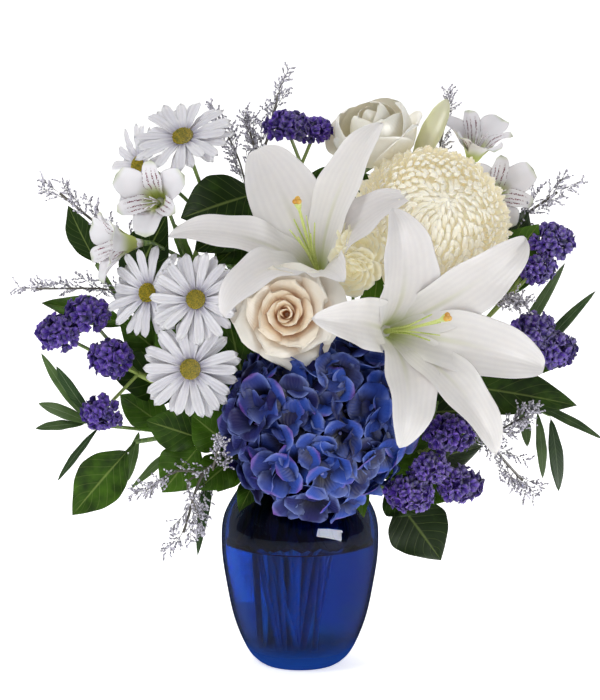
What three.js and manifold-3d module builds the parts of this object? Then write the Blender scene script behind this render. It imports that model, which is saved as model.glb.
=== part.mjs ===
// A mixed bouquet of cut flowers round one blue hydrangea, standing in water in a blue glass vase.
// Millimetres, +Z up, the front towards -Y. The origin is the centre of the vase's flat foot.
import * as THREE from "three";
import { mergeVertices } from "three/addons/utils/BufferGeometryUtils.js";
import Module from "manifold-3d";

const wasm = await Module();
wasm.setup();

// ---- Driving dimensions ----
const VASE_SIDES = 20;
const VASE_WALL = 3;
const VASE_FLOOR = 9;
const FLOOR_RADIUS = 34; // inside the vase, and well within its outer wall at that height
const VASE_HEIGHT = 151;
const VASE_OUTLINE = [[30, 0], [38, 8], [48.5, 31], [55, 60], [58.6, 88], [57, 111], [46, 132], [40.3, 141], [43.5, 151]];
const WATER_LEVEL = 93;
const GAP = 0.35; // clear space between pieces that touch
const HOLE_SIDES = 5; // round each stem in the water

const NECK_HEIGHT = 150; // where the stems leave the vase's mouth
const FOOT_HEIGHT = 16; // where their cut ends stand in the water
const FOOT_SPREAD = 0.6; // the bunch is narrower at its foot than at the neck
const FOOT_TWIST = 25; // degrees, a spiral bunch
const NECK_RINGS = [{ r: 0, n: 1, turn: 0 }, { r: 12.5, n: 6, turn: 30 }, { r: 23.5, n: 10, turn: 18 }, { r: 33.2, n: 13, turn: 0 }];

// ---- Materials ----
const finish = (color, roughness, extra = {}) => new THREE.MeshStandardMaterial({ color, roughness, metalness: 0, ...extra });
const GLASS = finish(0x1238b8, 0.05, { transparent: true, opacity: 0.5 });
const WATER = finish(0x5f8fe0, 0.05, { transparent: true, opacity: 0.35 });
const STEM = finish(0x56752c, 0.6);
const LEAF = finish(0x2f5a22, 0.45);
const GREY_LEAF = finish(0x5b7457, 0.6);
const HYDRANGEA = finish(0x3a44b4, 0.7);
const LILY = finish(0xf6f5ee, 0.5);
const BUD = finish(0xd8dba0, 0.5);
const STYLE = finish(0xb9c95a, 0.5);
const ROSE = finish(0xf5e8cf, 0.55);
const MUM = finish(0xf5efd8, 0.6);
const DAISY = finish(0xf4f1f8, 0.6);
const DISC = finish(0x9aa02c, 0.8);
const ALSTROEMERIA = finish(0xf3e9ec, 0.55);
const STATICE = finish(0x4a22a8, 0.8);
const CASPIA = finish(0x8d87a6, 0.8);

// ---- Small maths ----
const V = (x, y, z) => new THREE.Vector3(x, y, z);
const rad = THREE.MathUtils.degToRad;
const GOLDEN = Math.PI * (3 - Math.sqrt(5));
const polar = (radius, degrees, z) => V(radius * Math.cos(rad(degrees)), radius * Math.sin(rad(degrees)), z);

// A small seeded generator, so that every build draws the same numbers from -1 to 1.
function seeded(seed) {
  let state = seed;
  return () => {
    state = (state * 1664525 + 1013904223) >>> 0;
    return (state / 2 ** 31) - 1;
  };
}

// A flower's own frame: Z is the way it faces, and X and Y are right and up as its viewer sees it.
// Azimuth 0 faces the front (-Y), and a positive one turns to the right.
function facing(at, azimuth, elevation) {
  const a = rad(azimuth), e = rad(elevation);
  const z = V(Math.sin(a) * Math.cos(e), -Math.cos(a) * Math.cos(e), Math.sin(e));
  const x = V(Math.cos(a), Math.sin(a), 0);
  return { o: V(...at), x, y: z.clone().cross(x), z };
}
const place = (f, x, y, z) => f.o.clone().addScaledVector(f.x, x).addScaledVector(f.y, y).addScaledVector(f.z, z);
const along = (f, z) => place(f, 0, 0, z);

// ---- Solids ----
// Joins solids into one, and fills the closed pockets that crossing petals leave between them.
const union = (solids) => wasm.Manifold.union(wasm.Manifold.union(solids).decompose().filter((part) => part.volume() > 0));

function solidOf(geometry) {
  const bare = new THREE.BufferGeometry().setAttribute("position", geometry.getAttribute("position"));
  bare.setIndex(geometry.getIndex());
  const merged = mergeVertices(bare, 1e-4);
  const triVerts = new Uint32Array(merged.index.array);
  return new wasm.Manifold(new wasm.Mesh({ numProp: 3, vertProperties: merged.attributes.position.array, triVerts }));
}

function solidFrom(points, faces) {
  const geometry = new THREE.BufferGeometry().setFromPoints(points);
  geometry.setIndex(faces.flat());
  return solidOf(geometry);
}

// Turns a solid made round the Z axis into a flower's frame.
function seated(solid, f) {
  const m = new THREE.Matrix4().makeBasis(f.x, f.y, f.z).setPosition(f.o);
  return solid.transform(m.elements);
}

const lathe = (profile, sides) => solidOf(new THREE.LatheGeometry(profile.map(([r, z]) => new THREE.Vector2(r, z)), sides).rotateX(Math.PI / 2));

// Joins rings of points into a closed skin. The last item may be a single tip point.
function loft(rings) {
  const points = rings.flat(), faces = [], count = rings[0].length;
  const cap = (first, flip) => {
    let lo = 0, hi = count - 1;
    while (hi - lo > 1) {
      faces.push(flip ? [first + lo, first + hi, first + lo + 1] : [first + lo, first + lo + 1, first + hi]);
      lo += 1;
      if (hi - lo > 1) faces.push(flip ? [first + lo, first + hi, first + hi - 1] : [first + lo, first + hi - 1, first + hi]);
      hi -= 1;
    }
  };
  cap(0, true);
  for (let i = 0; i + 1 < rings.length; i += 1) {
    const a = i * count, b = a + count, tip = rings[i + 1].length === 1;
    for (let j = 0; j < count; j += 1) {
      const k = (j + 1) % count;
      if (tip) faces.push([a + j, a + k, b]);
      else faces.push([a + j, a + k, b + k], [a + j, b + k, b + j]);
    }
    if (!tip && i + 2 === rings.length) cap(b, false);
  }
  const volume = faces.reduce((sum, [a, b, c]) => sum + points[a].dot(points[b].clone().cross(points[c])), 0);
  const outward = volume < 0 ? faces.map(([a, b, c]) => [a, c, b]) : faces;
  return solidFrom(points, outward);
}

// A round stem through points, with a radius at each.
function tube(points, radii, sides) {
  let side = V(0.31, 0.95, 0.1);
  return loft(points.map((p, i) => {
    const t = points[Math.min(i + 1, points.length - 1)].clone().sub(points[Math.max(i - 1, 0)]).normalize();
    side = side.clone().addScaledVector(t, -side.dot(t)).normalize();
    const other = t.clone().cross(side);
    return Array.from({ length: sides }, (_, j) => {
      const a = (2 * Math.PI * j) / sides;
      return p.clone().addScaledVector(side, radii[i] * Math.cos(a)).addScaledVector(other, radii[i] * Math.sin(a));
    });
  }));
}

// Outlines of petals and leaves: the half width, as a share of the widest, at t from base to tip.
const outline = (base, peak, tip) => (t) =>
  t < peak ? base + (1 - base) * Math.sin((Math.PI / 2) * (t / peak)) : Math.cos((Math.PI / 2) * ((t - peak) / (1 - peak))) ** tip;
const LANCE = outline(0.25, 0.5, 0.75);
const SPOON = outline(0.35, 0.62, 0.55);
const FAN = outline(0.2, 0.7, 0.4);
const OVAL = outline(0.1, 0.42, 0.85);
const STRAP = outline(0.5, 0.55, 0.5);

// A blade along a spine of { p, side, up }. A cupped one is a thin trough with sharp edges, and one
// that isn't is flat below, with a rib along its upper face. It ends in a point, or bluntly at a
// share of its width.
function blade(spine, width, shape, { thick = 1.2, cup = 0, blunt = 0 }) {
  const last = spine.length - 1;
  return loft(spine.map(({ p, side, up }, i) => {
    if (i === last && !blunt) return [p];
    const half = (width / 2) * (i === last ? blunt : shape(i / last)), rib = thick * (i === last ? 0.6 : 1);
    const at = (s, h) => p.clone().addScaledVector(side, half * s).addScaledVector(up, cup * half * s * s + h);
    const rim = [at(-1, 0), at(0, rib / (cup ? 2 : 1)), at(1, 0)];
    return cup ? [...rim, at(0, -rib / 2)] : rim;
  }));
}

// A petal's spine leaves the flower at open[0] degrees from the axis it faces along, and turns
// through open[1] half way to open[2] at its tip. Angle is where it points, round the flower, and
// roll tips its edges, so that a ring of petals overlaps like tiles.
function petal(f, { angle, from = 3, rise = 0, length, width, open, shape = LANCE, steps = 4, roll = 0, ...form }) {
  const out = f.x.clone().multiplyScalar(Math.cos(rad(angle))).addScaledVector(f.y, Math.sin(rad(angle)));
  const lean = (t) => rad(open[0] * (1 - t) * (1 - 2 * t) + open[1] * 4 * t * (1 - t) + open[2] * t * (2 * t - 1));
  let r = from, z = rise;
  const spine = [];
  for (let i = 0; i <= steps; i += 1) {
    const a = lean(i / steps);
    const up = out.clone().multiplyScalar(-Math.cos(a)).addScaledVector(f.z, Math.sin(a));
    const t = out.clone().multiplyScalar(Math.sin(a)).addScaledVector(f.z, Math.cos(a));
    up.applyAxisAngle(t, rad(roll));
    spine.push({ p: f.o.clone().addScaledVector(out, r).addScaledVector(f.z, z), side: up.clone().cross(t), up });
    const next = lean((i + 0.5) / steps);
    r += (length / steps) * Math.sin(next);
    z += (length / steps) * Math.cos(next);
  }
  return blade(spine, width, shape, form);
}

// A leaf from base to tip, arching up by a share of its length, with its face turned to a direction.
function leaf(base, tip, face, width, { arch = 0.12, shape = OVAL, steps = 5, stalk = 0.14, ...form } = {}) {
  const middle = base.clone().lerp(tip, 0.5).addScaledVector(face, arch * base.distanceTo(tip));
  const curve = new THREE.QuadraticBezierCurve3(base, middle, tip);
  const spine = Array.from({ length: steps + 1 }, (_, i) => {
    const t = i / steps, along = curve.getTangent(t);
    const side = along.clone().cross(face).normalize();
    return { p: curve.getPoint(t), side, up: side.clone().cross(along) };
  });
  const bladeShape = (t) => (t < stalk ? 0.12 : shape((t - stalk) / (1 - stalk)));
  return blade(spine, width, bladeShape, form);
}

// ---- Stems ----
// A place in the bunch: ring 0 is its middle and ring 3 its outside.
function slot(ring, number) {
  const { r, n, turn } = NECK_RINGS[ring];
  const degrees = turn + (360 / n) * number;
  return { neck: polar(r, degrees, NECK_HEIGHT), foot: polar(r * FOOT_SPREAD, degrees + FOOT_TWIST, FOOT_HEIGHT) };
}
const cutEnds = []; // the straight stretch of each stem in the water, for its hole

// Points evenly along a smooth line from start through the via points to end. An end behind a
// flower is a pair, so that the last stretch is straight and square to the flower.
function route(start, via, end, steps) {
  const [last, ...square] = Array.isArray(end) ? end : [end];
  const curve = new THREE.CatmullRomCurve3([start, ...via.map((p) => V(...p)), last], false, "centripetal");
  return [...curve.getSpacedPoints(steps), ...square];
}
// The point and direction at a share of the way along a line of points.
function onRoute(points, share) {
  const at = share * (points.length - 1), i = Math.min(Math.floor(at), points.length - 2);
  return { p: points[i].clone().lerp(points[i + 1], at - i), t: points[i + 1].clone().sub(points[i]).normalize() };
}
const swelling = (points, radius, flare) => points.map((_, i) => (flare && i === points.length - 1 ? flare : radius));

// A stem from its cut end, straight to the vase's mouth and then along its route.
function stem(place_, via, end, radius, { steps = 5, flare = 0, sides = 4 } = {}) {
  const upper = route(place_.neck, via, end, steps);
  cutEnds.push({ ...place_, radius });
  return tube([place_.foot, ...upper], [radius, ...swelling(upper, radius, flare)], sides);
}

// A side branch from a point on a stem.
function branch(start, via, end, radius, { steps = 3, flare = 0, sides = 3 } = {}) {
  const points = route(start, via, end, steps);
  return tube(points, swelling(points, radius, flare), sides);
}

// ---- Vase and water ----
const vaseInside = VASE_OUTLINE.filter(([, z]) => z > VASE_FLOOR).map(([r, z]) => [r - VASE_WALL, z]);

function vase() {
  const inner = [...vaseInside].reverse();
  return lathe([[0, 0], ...VASE_OUTLINE, ...inner, [FLOOR_RADIUS, VASE_FLOOR], [0, VASE_FLOOR]], VASE_SIDES);
}

function water() {
  const wet = vaseInside.filter(([, z]) => z < WATER_LEVEL);
  const [below, above] = [wet[wet.length - 1], vaseInside[wet.length]];
  const share = (WATER_LEVEL - below[1]) / (above[1] - below[1]);
  const edge = below[0] + (above[0] - below[0]) * share;
  const side = [[FLOOR_RADIUS, VASE_FLOOR + GAP], ...wet, [edge, WATER_LEVEL]].map(([r, z]) => [r - GAP, z]);
  const body = lathe([[0, VASE_FLOOR + GAP], ...side, [0, WATER_LEVEL]], VASE_SIDES);
  const holes = cutEnds.map(({ foot, neck, radius }) => {
    const direction = neck.clone().sub(foot).normalize();
    const low = foot.clone().addScaledVector(direction, -1), high = foot.clone().lerp(neck, 0.75);
    const hole = (radius + GAP) / Math.cos(Math.PI / HOLE_SIDES);
    return tube([low, high], [hole, hole], HOLE_SIDES);
  });
  return body.subtract(union(holes));
}

// ---- Hydrangea ----
const HYDRANGEA_HEAD = {
  at: [12, -56, 191], azimuth: 3, elevation: 31, radius: 66, core: 53, back: -20, florets: 34, petal: 16, layer: 2.8,
};

// One floret: four petals round a dimple, cupped at their shoulders, on a cone that roots in the core.
function floret(f, size, depth) {
  const rim = [[-45, 0.5, 0], [-22, 1.02, 0.12], [22, 1.02, 0.12]];
  const points = [along(f, -0.05 * size), along(f, -depth)];
  for (let k = 0; k < 4; k += 1)
    for (const [turn, r, h] of rim) {
      const a = rad(90 * k + turn);
      points.push(place(f, r * size * Math.cos(a), r * size * Math.sin(a), h * size));
    }
  const faces = [];
  for (let i = 0; i < 12; i += 1) {
    const a = 2 + i, b = 2 + ((i + 1) % 12);
    faces.push([0, a, b], [1, b, a]);
  }
  return solidFrom(points, faces);
}

function hydrangeaHead() {
  const h = HYDRANGEA_HEAD, f = facing(h.at, h.azimuth, h.elevation), draw = seeded(7);
  const core = lathe([[0, h.back], [h.core * 0.95, h.back], [h.core, 0], [h.core * 0.72, h.core * 0.7], [0, h.core]], 8);
  const parts = [seated(core, f)];
  const lowest = (h.back + 3) / h.radius;
  for (let i = 0; i < h.florets; i += 1) {
    const z = 1 - ((1 - lowest) * (i + 0.5)) / h.florets, r = Math.sqrt(1 - z * z), a = i * GOLDEN;
    const out = V(0, 0, 0).addScaledVector(f.x, r * Math.cos(a)).addScaledVector(f.y, r * Math.sin(a)).addScaledVector(f.z, z);
    const side = V(draw(), draw(), draw()).cross(out).normalize();
    const lift = h.radius - h.layer * (i % 3);
    const own = { o: f.o.clone().addScaledVector(out, lift), x: side, y: out.clone().cross(side), z: out };
    parts.push(floret(own, h.petal * (1 + 0.06 * draw()), lift - h.core + 7));
  }
  return union(parts);
}

// ---- Lilies ----
const LILY_TUBE = 32; // from the throat back to the stem
// Each petal is [where it points, length, width, lean half way, lean at its tip].
const LILY_LEFT = {
  at: [8, -62, 314], azimuth: -14, elevation: 38,
  petals: [
    [184, 128, 29, 56, 100], [122, 112, 50, 56, 98], [64, 132, 31, 56, 96],
    [29, 101, 32, 56, 98], [-48, 76, 30, 38, 70], [-145, 84, 26, 60, 124],
  ],
};
const LILY_RIGHT = {
  at: [74, -82, 262], azimuth: 28, elevation: 9,
  petals: [
    [100, 112, 46, 56, 104], [34, 134, 38, 56, 100], [-20, 132, 42, 56, 102],
    [-62, 136, 32, 56, 108], [-106, 110, 42, 56, 100], [172, 108, 36, 56, 96],
  ],
};
const LILY_PETAL = outline(0.12, 0.5, 0.75);

function lilyPetals(lily) {
  const f = facing(lily.at, lily.azimuth, lily.elevation);
  const hub = seated(lathe([[0, -LILY_TUBE - 1], [5.5, -LILY_TUBE - 1], [6, -LILY_TUBE + 4], [0, -LILY_TUBE + 4]], 6), f);
  const petals = lily.petals.map(([angle, length, width, ...lean], i) => petal(f, {
    angle, length, width, open: [12, ...lean], from: 3 + 1.8 * (i % 2), rise: -LILY_TUBE,
    shape: LILY_PETAL, steps: 5, cup: 0.3, thick: 1.6,
  }));
  return union([hub, ...petals]);
}

// The green style with its stigma, and the filaments round its foot.
function lilyPistil(lily) {
  const f = facing(lily.at, lily.azimuth, lily.elevation), foot = -LILY_TUBE + 4 + GAP;
  const style = [[0, 0, foot], [0, 0, -8], [0, 2, 22], [0, 5, 50]].map((p) => place(f, ...p));
  const parts = [tube([...style, place(f, 0, 6, 57)], [2.2, 1.5, 1.2, 1.2, 3.2], 5)];
  for (let i = 0; i < 4; i += 1) {
    const a = rad(90 * i + 20), x = Math.cos(a), y = Math.sin(a);
    const line = [[0.8, foot + 3], [3, 4], [9, 34]].map(([r, z]) => place(f, r * x, r * y, z));
    parts.push(tube(line, [0.9, 0.7, 0.6], 3));
  }
  return union(parts);
}

const LILY_BUD = { base: [84, 8, 371], tip: [108, 10, 420], radius: 8.5 };
function lilyBud() {
  const base = V(...LILY_BUD.base), tip = V(...LILY_BUD.tip);
  const at = (t) => base.clone().lerp(tip, t), r = LILY_BUD.radius;
  return tube([0, 0.2, 0.5, 0.78, 0.94, 1].map(at), [0.4, 0.8, 1, 0.85, 0.5, 0.2].map((s) => s * r), 6);
}

// ---- Roses ----
const ROSE_DEPTH = 40;
const ROSE_FRONT = { at: [-10, -107, 275], azimuth: -2, elevation: 9, size: 1, whorls: 4 };
const ROSE_BACK = { at: [52, 2, 403], azimuth: -25, elevation: 62, size: 0.8, whorls: 2 };
const ROSE_WHORLS = [
  { count: 5, length: 56, width: 41, open: [84, 24, 112], turn: 10 },
  { count: 5, length: 51, width: 29, open: [70, 14, 90], turn: 46 },
  { count: 4, length: 47, width: 22, open: [54, 4, 56], turn: 20 },
  { count: 3, length: 44, width: 14, open: [34, 0, 14], turn: 50 },
];

function rosePetals(rose) {
  const f = facing(rose.at, rose.azimuth, rose.elevation), s = rose.size;
  const hub = [[0, -ROSE_DEPTH], [8, -ROSE_DEPTH], [17, -30], [14, -18], [5, 2], [0, 5]];
  const parts = [seated(lathe(hub.map(([r, z]) => [r * s, z * s]), 6), f)];
  for (const { count, length, width, open, turn } of ROSE_WHORLS.slice(0, rose.whorls))
    for (let i = 0; i < count; i += 1)
      parts.push(petal(f, {
        angle: turn + (360 / count) * i, length: length * s, width: width * s, open, from: 4 * s, rise: (6 - ROSE_DEPTH) * s,
        shape: FAN, blunt: 0.55, steps: 3, cup: 0.5, thick: 1.5, roll: 8,
      }));
  return union(parts);
}

// ---- Football chrysanthemum ----
const MUM_HEAD = { at: [94, -30, 331], azimuth: 8, elevation: 24, radius: 52, core: 43, scales: 50 };

function mumPetals() {
  const h = MUM_HEAD, f = facing(h.at, h.azimuth, h.elevation);
  const parts = [seated(solidOf(new THREE.SphereGeometry(h.core, 9, 6).rotateX(Math.PI / 2)), f)];
  for (let i = 0; i < h.scales; i += 1) {
    const z = 1 - (1.8 * (i + 0.5)) / h.scales, r = Math.sqrt(1 - z * z), a = i * GOLDEN;
    const angle = THREE.MathUtils.radToDeg(a), polarAngle = THREE.MathUtils.radToDeg(Math.acos(z));
    const lean = polarAngle - 8;
    parts.push(petal(f, {
      angle, from: (h.core - 4) * r, rise: (h.core - 4) * z, length: h.radius - h.core + 7, width: 17,
      open: [lean, lean - 16, lean - 40], shape: () => 1, steps: 1, thick: 3,
    }));
  }
  return union(parts);
}

// ---- Spray roses: two small ruffled blooms on one stem, touching ----
const SPRAY_ROSES = [{ at: [43, -68, 320], azimuth: 6, elevation: 26 }, { at: [37, -72, 303], azimuth: -10, elevation: -6 }];

function sprayRoses() {
  const parts = [];
  for (const bloom of SPRAY_ROSES) {
    const f = facing(bloom.at, bloom.azimuth, bloom.elevation);
    parts.push(seated(lathe([[0, -18], [5, -18], [9, -10], [7, -2], [0, 0]], 7), f));
    for (let i = 0; i < 7; i += 1)
      parts.push(petal(f, {
        angle: 103 * i, from: 3, rise: -16, length: 19 - (i % 3), width: 11, open: [64 - 8 * (i % 3), 20 - 4 * (i % 3), 50 - 20 * (i % 3)],
        shape: FAN, steps: 2, cup: 0.4, thick: 1.2, roll: 10,
      }));
  }
  return union(parts);
}

// ---- Daisies ----
const DAISY_RAYS = 14;
const DAISIES = {
  top: { at: [-84, -26, 394], azimuth: -24, elevation: 36, size: 1.04 },
  behind: { at: [-118, 2, 372], azimuth: -58, elevation: 12, size: 0.92 },
  middle: { at: [-73, -80, 283], azimuth: -10, elevation: 16, size: 0.94 },
  side: { at: [-108, -56, 285], azimuth: -34, elevation: 12, size: 0.94 },
  low: { at: [-77, -82, 234], azimuth: -6, elevation: 6, size: 1.0 },
  back: { at: [46, 90, 314], azimuth: 160, elevation: 22, size: 1.0 },
};

// One closed star. Each ray has a sharp edge round it and a rib above and below.
function daisyRays(daisy, index) {
  const f = facing(daisy.at, daisy.azimuth, daisy.elevation), draw = seeded(100 + index), s = daisy.size;
  const step = (2 * Math.PI) / DAISY_RAYS;
  const at = (r, a, h) => place(f, r * s * Math.cos(a), r * s * Math.sin(a), h * s);
  const points = [at(0, 0, 0), at(0, 0, -3.2)], faces = [];
  for (let i = 0; i < DAISY_RAYS; i += 1) {
    const a = i * step, h = -1.4 + 1.1 * draw(), reach = 34.5 + 1.5 * draw();
    points.push(at(8, a - step / 2, -1.6), at(25, a - 0.42 * step, h), at(reach, a - 0.16 * step, h - 1));
    points.push(at(reach, a + 0.16 * step, h - 1), at(25, a + 0.42 * step, h));
    points.push(at(21, a, h + 0.7), at(21, a, h - 0.7));
    const own = 2 + 7 * i, rib = own + 5, under = own + 6, next = 2 + 7 * ((i + 1) % DAISY_RAYS);
    const rim = [own, own + 1, own + 2, own + 3, own + 4, next];
    faces.push([0, own, rib], [0, rib, next], [1, under, own], [1, next, under]);
    for (let k = 0; k < 5; k += 1) faces.push([rim[k], rim[k + 1], rib], [rim[k + 1], rim[k], under]);
  }
  return solidFrom(points, faces);
}

function daisyDisc(daisy) {
  const f = facing(daisy.at, daisy.azimuth, daisy.elevation), s = daisy.size;
  return seated(lathe([[0, GAP], [6.8 * s, GAP], [7.4 * s, 2.4], [0, 5]], 8), f);
}

// ---- Alstroemeria ----
const ALSTROEMERIAS = {
  left: { at: [-104, -52, 352], azimuth: -16, elevation: 14, size: 1 },
  side: { at: [-132, -38, 318], azimuth: -66, elevation: 0, size: 0.95 },
  top: { at: [131, 26, 388], azimuth: 20, elevation: 60, size: 1 },
  right: { at: [146, 12, 352], azimuth: 18, elevation: 16, size: 1 },
};

function alstroemeriaPetals(flower) {
  const f = facing(flower.at, flower.azimuth, flower.elevation), s = flower.size;
  const parts = [seated(lathe([[0, -20], [3, -20], [4.4, -14], [0, -11]].map(([r, z]) => [r * s, z * s]), 6), f)];
  for (let i = 0; i < 6; i += 1) {
    const broad = i % 2 === 0;
    parts.push(petal(f, {
      angle: 30 + 60 * i, from: 2.2 * s, rise: -18 * s, length: (broad ? 42 : 40) * s, width: (broad ? 22 : 13) * s,
      open: broad ? [20, 40, 76] : [14, 34, 60], shape: broad ? FAN : LANCE, steps: 2, cup: 0.3, thick: 1.2,
    }));
  }
  return union(parts);
}

// ---- Statice: papery heads, each a crest of small flared cups ----
const CREST_CUPS = 5;
function staticeHead({ at, azimuth, elevation, size = 1.12 }, seed) {
  const f = facing(at, azimuth, elevation), draw = seeded(seed);
  const core = new THREE.OctahedronGeometry(1).scale(14 * size, 9 * size, 8 * size);
  const parts = [seated(solidOf(core), f)];
  for (let i = 0; i < CREST_CUPS; i += 1) {
    const z = 1 - (1.3 * (i + 0.5)) / CREST_CUPS, r = Math.sqrt(1 - z * z), a = i * GOLDEN;
    const out = V(r * Math.cos(a) * 12, r * Math.sin(a) * 7.5, z * 7).multiplyScalar(size);
    const root = place(f, out.x * 0.4, out.y * 0.4, out.z * 0.4 - 1);
    const mouth = place(f, out.x * 1.25, out.y * 1.4, out.z * 1.5);
    const d = mouth.clone().sub(root).normalize(), side = d.clone().cross(V(draw(), draw(), draw())).normalize();
    const other = d.clone().cross(side), w = 4.8 * size;
    const ring = [0, 1, 2].map((k) => {
      const turn = (2 * Math.PI * k) / 3;
      return mouth.clone().addScaledVector(side, w * Math.cos(turn)).addScaledVector(other, w * Math.sin(turn));
    });
    parts.push(loft([ring, [root]]));
  }
  return parts;
}

// A statice stem: a main stem, and a short branch to the underside of each head.
function statice({ place: [ring, number], via, heads, hub }, seed) {
  const middle = V(...hub);
  const parts = [stem(slot(ring, number), via, middle, 2, { steps: 4 })];
  heads.forEach((head, i) => {
    const f = facing(head.at, head.azimuth, head.elevation);
    parts.push(branch(middle, [], along(f, -2), 1.4, { steps: 1, sides: 3 }));
    parts.push(...staticeHead(head, seed + i));
  });
  return union(parts);
}

const STATICES = {
  left: {
    place: [3, 7], via: [[-58, -16, 188]], hub: [-118, -26, 222],
    heads: [
      { at: [-175, -28, 252], azimuth: -40, elevation: 40 }, { at: [-154, -30, 266], azimuth: -20, elevation: 50 },
      { at: [-136, -44, 236], azimuth: -25, elevation: 15 }, { at: [-144, -40, 196], azimuth: -30, elevation: -20, size: 1.05 },
    ],
  },
  top: { place: [2, 2], via: [[6, 30, 230], [2, 26, 320]], hub: [1, 16, 372], heads: [
    { at: [-9, 8, 399], azimuth: -10, elevation: 60 }, { at: [11, 12, 397], azimuth: 15, elevation: 60, size: 0.9 }] },
  right: { place: [2, 0], via: [[66, 12, 212]], hub: [130, -6, 252], heads: [
    { at: [183, -20, 318], azimuth: 25, elevation: 35 }, { at: [172, -26, 299], azimuth: 20, elevation: 0, size: 0.9 },
    { at: [168, -42, 256], azimuth: 20, elevation: 20 }, { at: [184, -36, 242], azimuth: 35, elevation: 10 }] },
  lowright: { place: [2, 8], via: [[44, -26, 166], [72, -34, 171]], hub: [88, -54, 169], heads: [
    { at: [106, -74, 186], azimuth: 15, elevation: 15, size: 1.15 }, { at: [92, -82, 162], azimuth: 5, elevation: -5, size: 0.95 },
    { at: [114, -74, 150], azimuth: 20, elevation: -20, size: 1.1 }, { at: [78, -84, 146], azimuth: -5, elevation: -15 }] },
  back: { place: [3, 5], via: [[-50, 50, 190]], hub: [-70, 74, 230], heads: [
    { at: [-92, 92, 268], azimuth: -140, elevation: 30 }, { at: [-64, 104, 258], azimuth: -165, elevation: 15 },
    { at: [-100, 84, 226], azimuth: -130, elevation: 5 }] },
};

// ---- Caspia: wiry sprays, each sprig with buds to one side and the other ----
function caspia({ place: [ring, number], via, end, sprigs = 6, reach = 36 }, seed) {
  const at = slot(ring, number), draw = seeded(seed), line = route(at.neck, via, V(...end), 5);
  const parts = [stem(at, via, V(...end), 1.1, { steps: 5, sides: 3 })];
  for (let i = 0; i < sprigs; i += 1) {
    const { p, t } = onRoute(line, 0.5 + (0.5 * i) / (sprigs - 1));
    const around = V(draw(), draw(), draw()).cross(t).normalize(), last = i === sprigs - 1;
    const d = last ? t : t.clone().multiplyScalar(0.7).addScaledVector(around, 0.75).normalize();
    const length = reach * (1 - (0.45 * i) / sprigs);
    const point = (share, offset) => p.clone().addScaledVector(d, share * length).addScaledVector(around, offset);
    const sprig = [[-0.03, 0], [0.4, 0], [0.56, 1.4], [0.84, -1.4], [1, 0]];
    parts.push(tube(sprig.map(([share, offset]) => point(share, offset)), [0.8, 0.6, 2.4, 2.2, 0.5], 3));
  }
  return union(parts);
}

const CASPIAS = {
  left: { place: [2, 4], via: [[-52, 12, 220], [-108, 4, 292]], end: [-176, 0, 352] },
  top: { place: [2, 3], via: [[-26, 40, 240], [-34, 40, 340]], end: [-16, 34, 424], sprigs: 7, reach: 44 },
  right: { place: [3, 2], via: [[72, 34, 230], [122, 24, 300]], end: [190, 12, 352] },
  lowleft: { place: [3, 9], via: [[-36, -44, 164], [-66, -54, 158]], end: [-84, -62, 112] },
  lowright: { place: [3, 12], via: [[75, -17, 186], [118, -36, 188]], end: [162, -42, 146] },
};

// ---- Leafy stems ----
// Each leaf is [share of the way up the stem, tip, the way its face looks (azimuth, elevation), width].
function leafyStem({ place: [ring, number], via, end, leaves, radius = 1.8 }, form) {
  const at = slot(ring, number), line = route(at.neck, via, V(...end), 5);
  const parts = [stem(at, via, V(...end), radius, { steps: 5 })];
  for (const [share, tip, azimuth, elevation, width] of leaves)
    parts.push(leaf(onRoute(line, share).p, V(...tip), facing([0, 0, 0], azimuth, elevation).z, width, form));
  return union(parts);
}

const SALAL_FORM = { shape: OVAL, steps: 4, thick: 1.6, arch: 0.1 };
const SALALS = {
  left: { place: [3, 6], via: [[-70, 14, 200], [-118, 2, 250]], end: [-150, 2, 300], leaves: [
    [0.97, [-170, 0, 343], -20, 10, 22], [0.7, [-190, -8, 272], -10, 50, 28], [0.5, [-150, -6, 226], -10, 30, 30],
    [0.4, [-128, 6, 200], 0, 20, 26]] },
  lowleft: { place: [2, 6], via: [[-48, -36, 168], [-84, -38, 178]], end: [-120, -26, 172], leaves: [
    [1.0, [-168, -22, 116], -10, 10, 38], [0.72, [-134, 4, 202], -10, 30, 28], [0.55, [-100, -46, 138], -10, 10, 36],
    [0.3, [-60, -44, 138], -20, 10, 24]] },
  right: { place: [3, 0], via: [[70, 6, 190], [112, 8, 224]], end: [134, 14, 272], leaves: [
    [0.98, [168, 8, 340], 10, 20, 36], [0.55, [200, -46, 202], 10, 50, 34], [0.4, [144, -14, 166], 20, 20, 22]] },
  lowright: { place: [3, 11], via: [[31, -34, 160], [52, -44, 147]], end: [70, -45, 134], leaves: [
    [0.95, [101, -72, 94], 5, 20, 36], [0.8, [128, -50, 146], 10, 30, 30], [0.45, [46, -58, 122], -10, 20, 14]] },
  back: { place: [3, 4], via: [[-26, 60, 220], [-16, 56, 300]], end: [-24, 6, 357], leaves: [
    [0.98, [-82, -28, 340], -20, 40, 36], [0.75, [-8, 110, 330], 180, 30, 36], [0.55, [-60, 112, 290], -160, 20, 38],
    [0.35, [-60, 104, 190], -150, 20, 38], [0.25, [0, 110, 180], 180, 10, 38], [0.45, [40, 120, 236], 170, 20, 38]] },
};

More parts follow.
